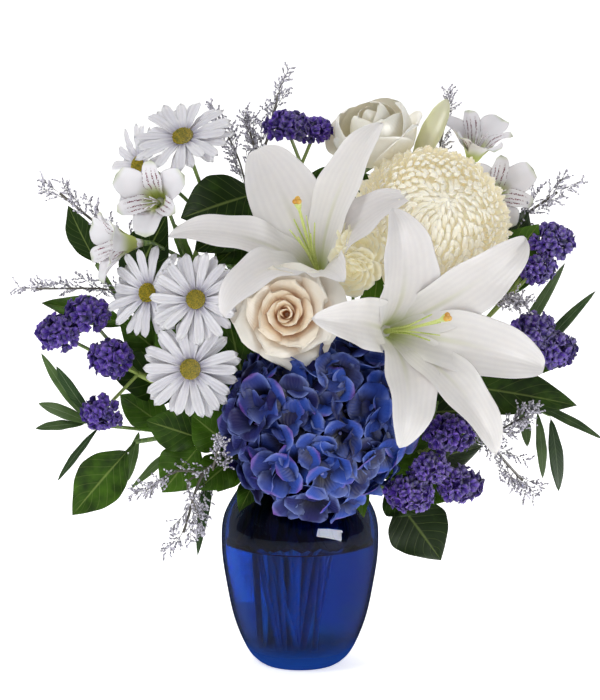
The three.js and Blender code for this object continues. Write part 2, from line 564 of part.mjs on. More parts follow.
const WILLOW_FORM = { shape: LANCE, steps: 3, thick: 1.2, arch: 0.14, stalk: 0.08 };
const WILLOWS = {
  left: { place: [3, 8], via: [[-60, -18, 172], [-110, -8, 177]], end: [-156, -20, 184], radius: 1.4, leaves: [
    [0.99, [-188, -30, 238], -20, 20, 8], [0.95, [-176, -40, 230], -20, 20, 9], [0.97, [-190, -36, 202], -10, 30, 10],
    [1.0, [-192, -40, 184], -10, 30, 8], [0.93, [-176, -44, 146], -10, 20, 6], [0.72, [-128, -4, 138], -10, 10, 8],
    [0.3, [-74, -58, 94], -10, 10, 9], [0.4, [-128, 12, 128], -10, 40, 9]] },
  right: { place: [3, 1], via: [[76, 20, 194], [132, 10, 208]], end: [184, -16, 190], radius: 1.4, leaves: [
    [0.72, [194, -10, 302], 10, 30, 9], [0.78, [216, -16, 282], 10, 40, 9], [0.82, [220, -40, 176], 10, 30, 8],
    [1.0, [188, -42, 138], 10, 10, 11], [0.94, [176, -44, 148], 10, 10, 8], [0.86, [164, -48, 172], 10, 10, 9],
    [0.66, [138, -52, 178], 10, 10, 9]] },
};

// ---- Putting the bunch together ----
const bunch = new THREE.Group();
bunch.name = "hydrangea_bouquet_in_vase";

function node(name, solid, material) {
  const { numProp, numVert, vertProperties, triVerts } = solid.getMesh();
  const positions = new Float32Array(numVert * 3);
  for (let i = 0; i < numVert; i += 1) positions.set(vertProperties.subarray(i * numProp, i * numProp + 3), i * 3);
  const geometry = new THREE.BufferGeometry().setAttribute("position", new THREE.BufferAttribute(positions, 3));
  geometry.setIndex(new THREE.BufferAttribute(triVerts, 1));
  const mesh = new THREE.Mesh(geometry, material);
  mesh.name = name;
  bunch.add(mesh);
}

// The end of a flower's own stem: a point some way behind the flower, and one a hair behind it.
const behind = (flower, depth, lead = 9) => {
  const f = facing(flower.at, flower.azimuth, flower.elevation);
  return [along(f, -depth - lead), along(f, -depth - GAP)];
};

// Hydrangea
node("hydrangea_head", hydrangeaHead(), HYDRANGEA);
node("hydrangea_stem", stem(slot(2, 7), [], behind(HYDRANGEA_HEAD, -HYDRANGEA_HEAD.back, 6), 3.6, { steps: 2, flare: 5, sides: 6 }), STEM);

// Lilies: the left one's stem also carries the bud
const LILY_FORK = V(22, 4, 290);
const budStart = { at: LILY_BUD.base, azimuth: 90, elevation: 64 };
node("lily_left_petals", lilyPetals(LILY_LEFT), LILY);
node("lily_left_pistil", lilyPistil(LILY_LEFT), STYLE);
node("lily_left_stem", union([
  stem(slot(0, 0), [[4, 4, 220]], LILY_FORK, 3, { steps: 3 }),
  branch(LILY_FORK, [], behind(LILY_LEFT, LILY_TUBE + 1), 2.1, { steps: 2, flare: 3.6 }),
  branch(LILY_FORK, [[52, 12, 330]], behind(budStart, 0, 7), 2, { steps: 3, flare: 3 }),
]), STEM);
node("lily_bud", lilyBud(), BUD);
node("lily_right_petals", lilyPetals(LILY_RIGHT), LILY);
node("lily_right_pistil", lilyPistil(LILY_RIGHT), STYLE);
node("lily_right_stem", stem(slot(2, 9), [[32, 12, 215], [46, -8, 252]], behind(LILY_RIGHT, LILY_TUBE + 1), 2.8, { flare: 3.6 }), STEM);

// Roses, with sepals on the calyx
function roseStem(rose, place_, via) {
  const end = behind(rose, ROSE_DEPTH * rose.size), f = facing(end[1].toArray(), rose.azimuth, rose.elevation);
  const sepals = [0, 1, 2, 3, 4].map((i) => petal(f, {
    angle: 72 * i + 10, from: 2.5, rise: -3, length: 15, width: 7, open: [80, 104, 130], steps: 1, shape: () => 1,
  }));
  return union([stem(place_, via, end, 2.6, { steps: 7, flare: 6 * rose.size }), ...sepals]);
}
node("rose_front_petals", rosePetals(ROSE_FRONT), ROSE);
node("rose_front_stem", roseStem(ROSE_FRONT, slot(1, 4), [[-8, 4, 225], [-10, -18, 264]]), STEM);
node("rose_back_petals", rosePetals(ROSE_BACK), ROSE);
node("rose_back_stem", roseStem(ROSE_BACK, slot(1, 1), [[10, 22, 230], [34, 18, 310]]), STEM);

// Chrysanthemum and spray roses
node("mum_petals", mumPetals(), MUM);
node("mum_stem", stem(slot(1, 0), [[30, 28, 215]], behind(MUM_HEAD, MUM_HEAD.core), 2.6, { flare: 6 }), STEM);
const SPRAY_FORK = V(34, -22, 286);
node("spray_rose_petals", sprayRoses(), ROSE);
node("spray_rose_stem", union([
  stem(slot(1, 5), [[18, 11, 215], [26, -2, 262]], SPRAY_FORK, 1.6, { steps: 5 }),
  ...SPRAY_ROSES.map((bloom) => branch(SPRAY_FORK, [], behind(bloom, 18.6), 1.2, { steps: 2, flare: 3.5 })),
]), STEM);

// Daisies: three sprays
Object.entries(DAISIES).forEach(([name, daisy], i) => {
  node(`daisy_${name}_rays`, daisyRays(daisy, i), DAISY);
  node(`daisy_${name}_disc`, daisyDisc(daisy), DISC);
});
// A stem that forks to several flowers.
function spray(place_, via, fork, flowers, depth, radius, flare) {
  const parts = [stem(place_, via, V(...fork), radius, { steps: 4 })];
  for (const flower of flowers) {
    const end = behind(flower, depth * flower.size);
    parts.push(branch(V(...fork), [], end, 0.7 * radius, { steps: 2, flare: flare * flower.size }));
  }
  return union(parts);
}
const daisySpray = (place_, via, fork, names) => spray(place_, via, fork, names.map((name) => DAISIES[name]), 3.4, 2, 5.5);
const alstroemeriaSpray = (place_, via, fork, names) =>
  spray(place_, via, fork, names.map((name) => ALSTROEMERIAS[name]), 20, 2, 2.8);
node("daisy_upper_stem", daisySpray(slot(1, 2), [[-22, 14, 230]], [-62, 10, 326], ["top", "behind"]), STEM);
node("daisy_lower_stem", daisySpray(slot(2, 5), [[-36, -10, 200]], [-60, -34, 236], ["middle", "side", "low"]), STEM);
node("daisy_back_stem", daisySpray(slot(3, 3), [[14, 50, 200]], [40, 60, 240], ["back"]), STEM);

// Alstroemeria: two sprays
Object.entries(ALSTROEMERIAS).forEach(([name, flower]) => {
  node(`alstroemeria_${name}_petals`, alstroemeriaPetals(flower), ALSTROEMERIA);
});
node("alstroemeria_left_stem", alstroemeriaSpray(slot(1, 3), [[-24, 0, 220]], [-82, -18, 304], ["left", "side"]), STEM);
node("alstroemeria_right_stem", alstroemeriaSpray(slot(2, 1), [[44, 30, 230]], [106, 26, 316], ["top", "right"]), STEM);

// Fillers and leaves
Object.entries(STATICES).forEach(([name, spray], i) => node(`statice_${name}`, statice(spray, 300 + 10 * i), STATICE));
Object.entries(CASPIAS).forEach(([name, spray], i) => node(`caspia_${name}`, caspia(spray, 500 + i), CASPIA));
Object.entries(SALALS).forEach(([name, spray]) => node(`salal_${name}`, leafyStem(spray, SALAL_FORM), LEAF));
Object.entries(WILLOWS).forEach(([name, spray]) => node(`willow_${name}`, leafyStem(spray, WILLOW_FORM), GREY_LEAF));

// The vase, and the water with a hole for each stem
node("vase_glass", vase(), GLASS);
node("vase_water", water(), WATER);

export default bunch;
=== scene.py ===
"""The finished look of a mixed bouquet round a blue hydrangea, in a blue glass vase.

Places and sizes are in millimetres in the part's own frame (+Z up, the front towards -Y), and become
metres where a mesh is made. Every bloom, leaf and stem is a surface worked out from a formula, with
the place, turn and size of the solid that it stands for, but for the few that the layout names.
"""

import bmesh
import bpy
import numpy as np
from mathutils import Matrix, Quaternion, Vector


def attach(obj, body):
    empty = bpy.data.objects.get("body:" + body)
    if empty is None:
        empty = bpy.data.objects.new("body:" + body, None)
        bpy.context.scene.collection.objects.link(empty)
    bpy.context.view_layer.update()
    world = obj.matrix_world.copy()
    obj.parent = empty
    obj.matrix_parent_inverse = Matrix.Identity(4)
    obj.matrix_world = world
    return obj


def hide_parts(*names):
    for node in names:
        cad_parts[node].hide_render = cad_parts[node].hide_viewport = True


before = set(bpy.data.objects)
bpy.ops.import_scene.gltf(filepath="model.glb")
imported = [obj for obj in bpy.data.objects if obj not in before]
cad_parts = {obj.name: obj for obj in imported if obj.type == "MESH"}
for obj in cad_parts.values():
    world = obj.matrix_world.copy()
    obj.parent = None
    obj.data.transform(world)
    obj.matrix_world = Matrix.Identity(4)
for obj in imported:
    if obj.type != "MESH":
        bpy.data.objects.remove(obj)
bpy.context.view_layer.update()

MM = 0.001
TURN = 6.28  # radians
GOLDEN = np.pi * (3 - np.sqrt(5))
rng = np.random.default_rng(11)


def jitter(*shape):
    """Random numbers from -1 to 1."""
    return rng.uniform(-1, 1, shape)


# ---- layout
# As in the part's source, but for one lily petal, the front rose, the top daisy and a low leaf, which are
# turned, moved or widened a little. The shoots and the later leaves of each SALALS list are added here.
VASE_WALL = 3
VASE_FLOOR = 9
VASE_HEIGHT = 151
VASE_OUTLINE = [(30, 0), (38, 8), (48.5, 31), (55, 60), (58.6, 88), (57, 111), (46, 132),
                (40.3, 141), (43.5, 151)]
# Painted light: below the waterline, stems take a paler, bluish tone.
WATER_LEVEL = 93
UNDERWATER_LIGHT = (0.11, 0.085)  # m: a stem's colour changes between these heights, round the waterline
# Painted light: low down, the glass gives way to an opaque blue between these heights.
PAINTED_FOOT_SPAN = (0.028, 0.006)  # m: the glass turns opaque from the first height down to the second
NECK_HEIGHT = 150
FOOT_HEIGHT = 16
FOOT_SPREAD = 0.42
FOOT_TWIST = 60
NECK_RINGS = [(0, 1, 0), (12.5, 6, 30), (23.5, 10, 18), (33.2, 13, 0)]

HYDRANGEA = dict(at=(12, -56, 191), azimuth=3, elevation=31, radius=65, core=49, back=-12, florets=90,
                 petal=21.5)
CUPS = 34  # in a head of statice
DAISY_RAYS = 28
DAISY_FLORETS = 120
SPRAY_ROSE_PETALS = 26
TWIGS = 8  # on a sprig of caspia
BUDS = 5  # on a twig
NECK_LEAVES = 36
LILY_TUBE = 32
LILY_LEFT = dict(at=(8, -62, 314), azimuth=-14, elevation=38, petals=[
    (184, 128, 29, 56, 100), (122, 112, 50, 56, 98), (64, 132, 31, 56, 96),
    (29, 101, 32, 56, 98), (-48, 76, 30, 38, 70), (-128, 118, 32, 51, 140)])
LILY_RIGHT = dict(at=(74, -82, 262), azimuth=28, elevation=9, petals=[
    (100, 112, 46, 56, 104), (34, 134, 38, 56, 100), (-20, 132, 42, 56, 102),
    (-62, 136, 32, 56, 108), (-106, 110, 42, 56, 100), (172, 108, 36, 56, 96)])
LILY_BUD = dict(base=(84, 8, 371), tip=(108, 10, 420), radius=8.5)
ROSE_DEPTH = 40
ROSE_FRONT = dict(at=(-10, -102, 276), azimuth=-2, elevation=9, size=0.9)
ROSE_BACK = dict(at=(52, 2, 403), azimuth=-25, elevation=62, size=0.8)
MUM = dict(at=(94, -30, 331), azimuth=8, elevation=24, core=43, scales=900)
SPRAY_ROSES = [dict(at=(43, -68, 320), azimuth=6, elevation=26),
               dict(at=(37, -72, 303), azimuth=-10, elevation=-6)]
DAISIES = {
    "top": dict(at=(-84, -26, 394), azimuth=-20, elevation=48, size=1.04),
    "behind": dict(at=(-118, 2, 372), azimuth=-58, elevation=12, size=0.92),
    "middle": dict(at=(-73, -80, 283), azimuth=-10, elevation=16, size=0.94),
    "side": dict(at=(-108, -56, 285), azimuth=-34, elevation=12, size=0.94),
    "low": dict(at=(-77, -82, 234), azimuth=-6, elevation=6, size=1.0),
    "back": dict(at=(46, 90, 314), azimuth=160, elevation=22, size=1.0),
}
ALSTROEMERIAS = {
    "left": dict(at=(-104, -52, 352), azimuth=-16, elevation=14, size=1.0),
    "side": dict(at=(-132, -38, 318), azimuth=-66, elevation=0, size=0.95),
    "top": dict(at=(131, 26, 388), azimuth=20, elevation=60, size=1.0),
    "right": dict(at=(146, 12, 352), azimuth=18, elevation=16, size=1.0),
}
STATICES = {
    "left": dict(place=(3, 7), via=[(-58, -16, 188)], hub=(-118, -26, 222), heads=[
        ((-175, -28, 252), -40, 40, 1.12), ((-154, -30, 266), -20, 50, 1.12),
        ((-136, -44, 236), -25, 15, 1.12), ((-144, -40, 196), -30, -20, 1.05)]),
    "top": dict(place=(2, 2), via=[(6, 30, 230), (2, 26, 320)], hub=(1, 16, 372), heads=[
        ((-9, 8, 399), -10, 60, 1.12), ((11, 12, 397), 15, 60, 0.9)]),
    "right": dict(place=(2, 0), via=[(66, 12, 212)], hub=(130, -6, 252), heads=[
        ((183, -20, 318), 25, 35, 1.12), ((172, -26, 299), 20, 0, 0.9), ((168, -42, 256), 20, 20, 1.12),
        ((184, -36, 242), 35, 10, 1.12)]),
    "lowright": dict(place=(2, 8), via=[(44, -26, 166), (72, -34, 171)], hub=(88, -54, 169), heads=[
        ((106, -74, 186), 15, 15, 1.15), ((92, -82, 162), 5, -5, 0.95), ((114, -74, 150), 20, -20, 1.1),
        ((78, -84, 146), -5, -15, 1.12)]),
    "back": dict(place=(3, 5), via=[(-50, 50, 190)], hub=(-70, 74, 230), heads=[
        ((-92, 92, 268), -140, 30, 1.12), ((-64, 104, 258), -165, 15, 1.12),
        ((-100, 84, 226), -130, 5, 1.12)]),
}
CASPIAS = {
    "left": dict(place=(2, 4), via=[(-52, 12, 220), (-108, 4, 292)], end=(-176, 0, 352), shoots=[
        (0.45, (-130, -6, 280), (-192, -20, 284))]),
    "top": dict(place=(2, 3), via=[(-26, 40, 240), (-34, 40, 340)], end=(-16, 34, 424), reach=44, shoots=[
        (0.6, (-44, 30, 370), (-58, 10, 404)), (0.7, (-30, 36, 370), (-38, 20, 398))]),
    "right": dict(place=(3, 2), via=[(72, 34, 230), (122, 24, 300)],
                 end=(190, 12, 352), count=26, shoots=[
        (0.5, (100, 26, 360), (109, 16, 414)), (0.6, (140, -10, 280), (158, -50, 276))]),
    "lowleft": dict(place=(3, 9), via=[(-36, -44, 164), (-66, -54, 158)],
                 end=(-84, -62, 112), count=10, shoots=[
        (0.5, (-62, -72, 160), (-58, -94, 178)), (0.6, (-90, -60, 156), (-108, -60, 144)),
        (0.6, (-80, -72, 150), (-72, -80, 128))]),
    "lowright": dict(place=(3, 12), via=[(75, -17, 186), (118, -36, 188)], end=(162, -42, 146), shoots=[
        (0.7, (140, -50, 184), (160, -60, 196))]),
}
# Each leaf is (share of the way up the stem, tip, azimuth and elevation of its face, width).
SALALS = {
    "left": dict(place=(3, 6), via=[(-70, 14, 200), (-118, 2, 250)], end=(-150, 2, 300), leaves=[
        (0.97, (-170, 0, 343), -20, 10, 22), (0.7, (-190, -8, 272), -10, 50, 28),
        (0.5, (-150, -6, 226), -10, 30, 30), (0.4, (-128, 6, 200), 0, 20, 26),
        (0.3, (-104, -30, 262), -14, 10, 34), (0.62, (-120, -8, 322), -20, 16, 30),
        (0.2, (-92, 40, 250), -60, 10, 34), (0.35, (-96, -40, 222), -10, 16, 36),
        (0.5, (-88, -14, 300), -16, 10, 36), (0.45, (-132, -20, 262), -20, 20, 30),
        (0.3, (-146, -30, 236), -20, 14, 36), (0.8, (-96, -24, 338), -16, 12, 40)]),
    "lowleft": dict(place=(2, 6), via=[(-48, -36, 168), (-84, -38, 178)], end=(-120, -26, 172), leaves=[
        (1.0, (-168, -22, 116), -10, 10, 38), (0.72, (-134, 4, 202), -10, 30, 28),
        (0.55, (-100, -46, 138), -10, 10, 36), (0.3, (-60, -44, 138), -20, 10, 24),
        (0.35, (-78, -50, 196), -10, 20, 34), (0.2, (-58, -66, 166), -16, 30, 26),
        (0.12, (-44, -58, 126), -20, 10, 18), (0.3, (-74, -56, 142), -12, 14, 30),
        (0.5, (-112, -40, 190), -14, 20, 32), (0.3, (-96, -20, 214), -14, 10, 34),
        (0.12, (-52, -58, 272), -5, 8, 46)]),
    "right": dict(place=(3, 0), via=[(70, 6, 190), (112, 8, 224)], end=(134, 14, 272), leaves=[
        (0.98, (168, 8, 340), 10, 20, 36), (0.55, (200, -46, 202), 10, 26, 38),
        (0.4, (144, -14, 166), 20, 20, 22), (0.72, (196, -34, 232), 14, 20, 32),
        (0.3, (150, -30, 196), 12, 24, 34), (0.2, (120, 36, 236), 60, 20, 34),
        (0.95, (172, -30, 332), 12, 30, 42)]),
    "lowright": dict(place=(3, 11), via=[(31, -34, 160), (52, -44, 147)], end=(70, -45, 134), leaves=[
        (0.95, (101, -72, 94), 5, 20, 46), (0.8, (128, -50, 146), 10, 30, 34),
        (0.45, (46, -58, 122), -10, 20, 14), (0.4, (100, -50, 206), 10, 14, 38),
        (0.7, (122, -36, 192), 14, 20, 34), (0.5, (92, 10, 150), 60, 20, 30),
        (0.6, (96, -50, 186), 10, 20, 34), (0.8, (84, -64, 126), 4, 20, 30),
        (0.5, (74, -66, 210), 8, 10, 34), (0.6, (132, -44, 172), 14, 20, 36),
        (0.35, (56, -52, 302), 4, 6, 46)]),
    "back": dict(place=(3, 4), via=[(-26, 60, 220), (-16, 56, 300)], end=(-24, 6, 357), leaves=[
        (0.98, (-86, -30, 336), -12, 14, 46), (0.75, (-8, 110, 330), 180, 30, 36),
        (0.55, (-60, 112, 290), -160, 20, 38), (0.35, (-60, 104, 190), -150, 20, 38),
        (0.25, (0, 110, 180), 180, 10, 38), (0.45, (40, 120, 236), 170, 20, 38),
        (0.85, (-62, -12, 300), -14, 12, 38), (0.7, (36, -14, 352), 6, 20, 36),
        (0.5, (-40, -30, 262), -10, 10, 36), (0.9, (60, 40, 360), 30, 40, 36),
        (0.6, (86, 40, 300), 120, 20, 34), (0.9, (-76, -34, 312), -12, 12, 40)]),
}
WILLOWS = {
    "left": dict(place=(3, 8), via=[(-60, -18, 172), (-110, -8, 177)], end=(-156, -20, 184), leaves=[
        (0.99, (-188, -30, 238), -20, 20, 8), (0.95, (-176, -40, 230), -20, 20, 9),
        (0.97, (-190, -36, 202), -10, 30, 10), (1.0, (-192, -40, 184), -10, 30, 8),
        (0.93, (-176, -44, 146), -10, 20, 6), (0.72, (-128, -4, 138), -10, 10, 8),
        (0.3, (-74, -58, 94), -10, 10, 9), (0.4, (-128, 12, 128), -10, 40, 9)]),
    "right": dict(place=(3, 1), via=[(76, 20, 194), (132, 10, 208)], end=(184, -16, 190), leaves=[
        (0.72, (194, -10, 302), 10, 30, 9), (0.78, (216, -16, 282), 10, 40, 9),
        (0.82, (220, -40, 176), 10, 30, 8), (1.0, (188, -42, 138), 10, 10, 11),
        (0.94, (176, -44, 148), 10, 10, 8), (0.86, (164, -48, 172), 10, 10, 9),
        (0.66, (138, -52, 178), 10, 10, 9)]),
}
# Routes of stems: (place in the bunch, the points on the way up)
ROUTES = {
    "lily_left": ((0, 0), [(4, 4, 220), (22, 4, 290)]),
    "lily_right": ((2, 9), [(32, 12, 215), (46, -8, 252)]),
    "alstroemeria_left": ((1, 3), [(-24, 0, 220), (-82, -18, 304)]),
    "alstroemeria_right": ((2, 1), [(44, 30, 230), (106, 26, 316)]),
    "daisy_upper": ((1, 2), [(-22, 14, 230), (-62, 10, 326)]),
    "daisy_lower": ((2, 5), [(-36, -10, 200), (-60, -34, 236)]),
    "daisy_back": ((3, 3), [(14, 50, 200), (40, 60, 240)]),
    "rose_front": ((1, 4), [(-8, 4, 225), (-10, -18, 264)]),
    "rose_back": ((1, 1), [(10, 22, 230), (34, 18, 310)]),
    "spray_rose": ((1, 5), [(18, 11, 215), (26, -2, 262), (34, -22, 286)]),
    "mum": ((1, 0), [(30, 28, 215), (70, 10, 290)]),
}

# ---- camera
CAMERA_ELEVATION = 8
CAMERA_DISTANCE = 1.6
CAMERA_LENS = 111.2
LOOK_AT = Vector((0, 0, 0.236))

toward = Vector((0, -np.cos(np.radians(CAMERA_ELEVATION)), np.sin(np.radians(CAMERA_ELEVATION))))
camera = bpy.data.objects.new("camera", bpy.data.cameras.new("camera"))
camera.data.lens = CAMERA_LENS
camera.data.clip_end = 20
camera.location = LOOK_AT + CAMERA_DISTANCE * toward
camera.rotation_euler = toward.to_track_quat("Z", "Y").to_euler()
bpy.context.scene.collection.objects.link(camera)
bpy.context.scene.camera = camera


# ---- materials
class Value:
    """A number that a shader works out. Sums and products of values add their Math nodes."""

    def __init__(self, finish, socket):
        self.finish, self.socket = finish, socket

    def math(self, operation, *others):
        return self.finish.node("Math", (self, *others), operation=operation)

    def __add__(self, other):
        return self.math("ADD", other)

    def __sub__(self, other):
        return self.math("SUBTRACT", other)

    def __rsub__(self, other):
        return self.finish.node("Math", (other, self), operation="SUBTRACT")

    def __mul__(self, other):
        return self.math("MULTIPLY", other)

    def __pow__(self, other):
        return self.math("POWER", other)

    def __abs__(self):
        return self.math("ABSOLUTE")

    def ramp(self, low, high):
        """0 below low, 1 above high, and smooth between them. Low may be the greater."""
        return self.finish.node("MapRange", (self, low, high), interpolation_type="SMOOTHSTEP")

    __radd__, __rmul__ = __add__, __mul__


def colour(code):
    """A colour from its screen code, as the renderer's linear numbers."""
    part = np.array([int(code[i:i + 2], 16) for i in (1, 3, 5)]) / 255
    return (*np.where(part <= 0.04045, part / 12.92, ((part + 0.055) / 1.055) ** 2.4), 1.0)


class Finish:
    """A material, built from its main shader."""

    def __init__(self, name, **fixed):
        self.material = bpy.data.materials.new(name)
        self.material.use_nodes = True
        self.tree = self.material.node_tree
        self.shader = self.tree.nodes["Principled BSDF"]
        for key, value in fixed.items():
            self.shader.inputs[key.replace("_", " ")].default_value = value

    def node(self, kind, inputs=(), out=0, **settings):
        """Adds a node, makes its settings, then fills its inputs by place or by name."""
        made = self.tree.nodes.new("ShaderNode" + kind)
        for key, value in settings.items():
            setattr(made, key, value)
        for key, value in inputs.items() if isinstance(inputs, dict) else enumerate(inputs):
            if isinstance(value, Value):
                self.tree.links.new(value.socket, made.inputs[key])
            elif value is not None:
                made.inputs[key].default_value = value
        return Value(self, made.outputs[out])

    def read(self, name):
        """A number that the piece's own mesh carries."""
        return self.node("Attribute", attribute_name=name, out="Fac")

    def marks(self):
        """Where a point is across and along its petal, and the petal's own random number."""
        return self.read("across"), self.read("along"), self.read("chance")

    def place(self, scale=(1, 1, 1)):
        return self.node("Mapping", {"Vector": self.node("TexCoord", out="Object"), "Scale": scale})

    def metres(self, axis):
        """How far along the part's X, Y or Z axis."""
        return self.node("SeparateXYZ", (self.node("TexCoord", out="Object"),), out=axis)

    def noise(self, scale, detail=3, vector=None):
        inputs = {"Scale": scale, "Detail": detail, "Vector": vector or self.place()}
        return self.node("TexNoise", inputs, out="Fac")

    def blend(self, share, one, other):
        """A colour between two, by a share from 0 to 1."""
        return self.node("Mix", {0: share, 6: one, 7: other}, out=2, data_type="RGBA")

    def use(self, **links):
        """Links values to the main shader's inputs, and gives the material."""
        for key, value in links.items():
            self.tree.links.new(value.socket, self.shader.inputs[key.replace("_", " ")])
        return self.material

    def bump(self, height, strength, depth):
        return self.node("Bump", {"Strength": strength, "Distance": depth, "Height": height})


def veined(name, base, middle, edge, *, rib=None, rough=0.5, veins=40, strength=0.35, soft=0.12,
           shade="#8f8ba0", throat=0.42, streak=0.0, glow=0.0):
    """Petal: base colour to middle colour along its throat, edge colour at its rim, fine veins along it, a
    shade in blotches and streaks, and a faint painted glow that lifts its shade, for the light that thin
    petals let through."""
    f = Finish(name, Roughness=rough, Subsurface_Weight=soft, Subsurface_Radius=(0.004, 0.003, 0.002),
               Subsurface_Scale=1.0, Specular_IOR_Level=0.2, Sheen_Weight=0.08, Emission_Strength=glow)
    across, along, chance = f.marks()
    mottle = f.noise(220, 2)
    body = f.blend(along.ramp(0.02, throat), colour(base), colour(middle))
    near_rim = abs(across) ** 3 * 0.7 + along.ramp(0.75, 1.0) * 0.5
    body = f.blend(near_rim * (0.6 + mottle * 0.8), body, colour(edge))
    if rib:
        on_rib = (1 - abs(across)).ramp(0.84, 0.99) * (1 - along.ramp(0.25, 0.7))
        body = f.blend(on_rib * 0.5, body, colour(rib))
    body = f.blend(chance * 0.16 + mottle * 0.1, body, colour(shade))
    lines = ((across + chance) * veins).math("SINE")
    body = f.blend((lines * 0.5 + 0.5) * streak, body, colour(shade))
    # Painted glow: the body colour is also given off as light, to lift the petal's shade.
    return f.use(Base_Color=body, Emission_Color=body, Normal=f.bump(lines * 0.5 + mottle, strength, 0.0003))


def leafy(name, dark, light, rib, *, rough=0.45, side_veins=9.0, strength=0.5):
    """Leaf: a pale rib, side veins that slant to the tip, and blotches of lighter green."""
    f = Finish(name, Specular_IOR_Level=0.12, Coat_Weight=0.04, Coat_Roughness=0.3)
    across, along, chance = f.marks()
    mottle = f.noise(90, 4)
    body = f.blend((mottle + chance - 0.5).ramp(0.2, 0.9), colour(dark), colour(light))
    midrib = (1 - abs(across)).ramp(0.93, 0.995)
    slant = ((along * side_veins - abs(across) * 2.2) * 6.283).math("COSINE")
    vein = slant.ramp(0.93, 1.0) * (1 - midrib)
    body = f.blend(midrib * 0.5 + vein * 0.16, body, colour(rib))
    height = mottle * 0.3 - vein * 0.5 - midrib + slant * 0.15
    return f.use(Base_Color=body, Roughness=rough + mottle * 0.25, Normal=f.bump(height, strength, 0.0006))


def hydrangea_finish():
    """Cobalt petals, violet in patches and, as painted shade, darker violet to the left, with paler rims and
    dark hearts, a painted shade where the petals meet.
    """
    f = Finish("hydrangea_blue", Roughness=0.65, Specular_IOR_Level=0.2)
    across, along, chance = f.marks()
    mottle = f.noise(70, 3)
    blue = f.blend((mottle + chance * 0.8).ramp(0.5, 1.15), colour("#0c1254"), colour("#284cae"))
    # The noise term gives the petals' own violet patches. The X term is painted shade that darkens the left
    # side towards violet.
    patch_and_left_shade = f.noise(16, 2).ramp(0.5, 0.66) * 0.5 + f.metres("X").ramp(0.01, -0.05) * 0.75
    blue = f.blend(patch_and_left_shade, blue, colour("#220f4c"))
    # Painted shade: near black towards each petal's foot, where the petals meet.
    body = f.blend(along.ramp(0.85, 0.2), blue, colour("#060628"))
    rim = (abs(across) ** 4 + along.ramp(0.8, 1.0)) * mottle.ramp(0.36, 0.6)
    body = f.blend(rim * 0.6, body, colour("#8ea2ea"))
    body = f.blend(along.ramp(0.8, 1.0) * chance.ramp(0.6, 0.9) * 0.6, body, colour("#8c3fae"))
    ribs = ((abs(across) * 9 - along * 5) * 3).math("SINE")
    return f.use(Base_Color=body, Normal=f.bump(ribs * 0.4 + mottle, 0.45, 0.0004))


def rose_finish(name, outer, inner, deep_tone_and_shade):
    """Rose: pale outer petals, warmer inner ones, and a darker, warmer tone down between them, partly their
    own colour and partly painted shade, and a faint painted glow that lifts the shade. Chance counts the
    whorls, from 0 outside to 1 inside."""
    f = Finish(name, Roughness=0.5, Subsurface_Weight=0.12, Subsurface_Radius=(0.005, 0.003, 0.002),
               Subsurface_Scale=1.0, Emission_Strength=0.05)
    across, along, inward = f.marks()
    mottle = f.noise(160, 3)
    body = f.blend(inward.ramp(0.1, 0.75), colour(outer), colour(inner))
    # Partly the rose's own warmer colour, partly painted shade: a darker, warmer tone down each petal towards
    # its foot, more on the inner whorls.
    body = f.blend((1 - along).ramp(0.1, 0.6) * (0.1 + inward * 0.8), body, colour(deep_tone_and_shade))
    body = f.blend(mottle.ramp(0.45, 0.8) * 0.12, body, colour("#ffffff"))
    lines = ((across + mottle * 0.1) * 60).math("SINE")
    # Painted glow: the body colour is also given off as light, at strength 0.05, to lift the shade between
    # the petals.
    return f.use(Base_Color=body, Emission_Color=body, Normal=f.bump(lines * 0.3 + mottle, 0.25, 0.0003))


def alstroemeria_finish():
    """White petals with burgundy dashes along the narrow ones, and a yellow-green throat."""
    f = Finish("alstroemeria_white", Roughness=0.7, Specular_IOR_Level=0.25, Subsurface_Weight=0.1,
               Subsurface_Radius=(0.003, 0.002, 0.002), Subsurface_Scale=1.0)
    across, along, chance = f.marks()
    body = f.blend(along.ramp(0.2, 0.55), colour("#b7c268"), colour("#eceaee"))
    body = f.blend(along.ramp(0.88, 1.0) * 0.6, body, colour("#b9c78f"))
    lane = (across * 12).math("COSINE").ramp(0.2, 0.7)
    dash = f.noise(1.0, 1, f.node("CombineXYZ", (across * 9, along * 26, chance * 40))).ramp(0.46, 0.54)
    band = along.ramp(0.3, 0.42) * (1 - along.ramp(0.72, 0.88)) * chance.ramp(0.49, 0.51)
    return f.use(Base_Color=f.blend(lane * dash * band, body, colour("#6e0f34")),
                 Normal=f.bump(f.noise(300, 2), 0.3, 0.0003))


def grainy(name, one, other, scale, rough=0.7, strength=0.4):
    """A plain surface with a blotched colour and a fine grain."""
    f = Finish(name, Roughness=rough)
    blotch, chance = f.noise(scale, 3), f.read("chance")
    body = f.blend((blotch + chance * 0.5).ramp(0.3, 1.0), colour(one), colour(other))
    return f.use(Base_Color=body, Normal=f.bump(blotch, strength, 0.0005))


def statice_finish():
    """Papery violet cups, paler and pinker at their lips, and near black towards their feet, a painted shade
    where the cups crowd together.
    """
    f = Finish("statice_violet", Roughness=0.75, Sheen_Weight=0.2)
    along, chance, mottle = f.read("along"), f.read("chance"), f.noise(260, 3)
    body = f.blend((mottle + chance * 0.6).ramp(0.35, 1.1), colour("#220e6c"), colour("#4e22a6"))
    body = f.blend(along.ramp(0.6, 1.0) * mottle.ramp(0.4, 0.65) * 0.6, body, colour("#9a78dc"))
    # Painted shade: near black towards the foot of each cup.
    body = f.blend(along.ramp(0.3, 0.0), body, colour("#170b48"))
    return f.use(Base_Color=body, Normal=f.bump(f.noise(700, 2), 0.5, 0.0004))


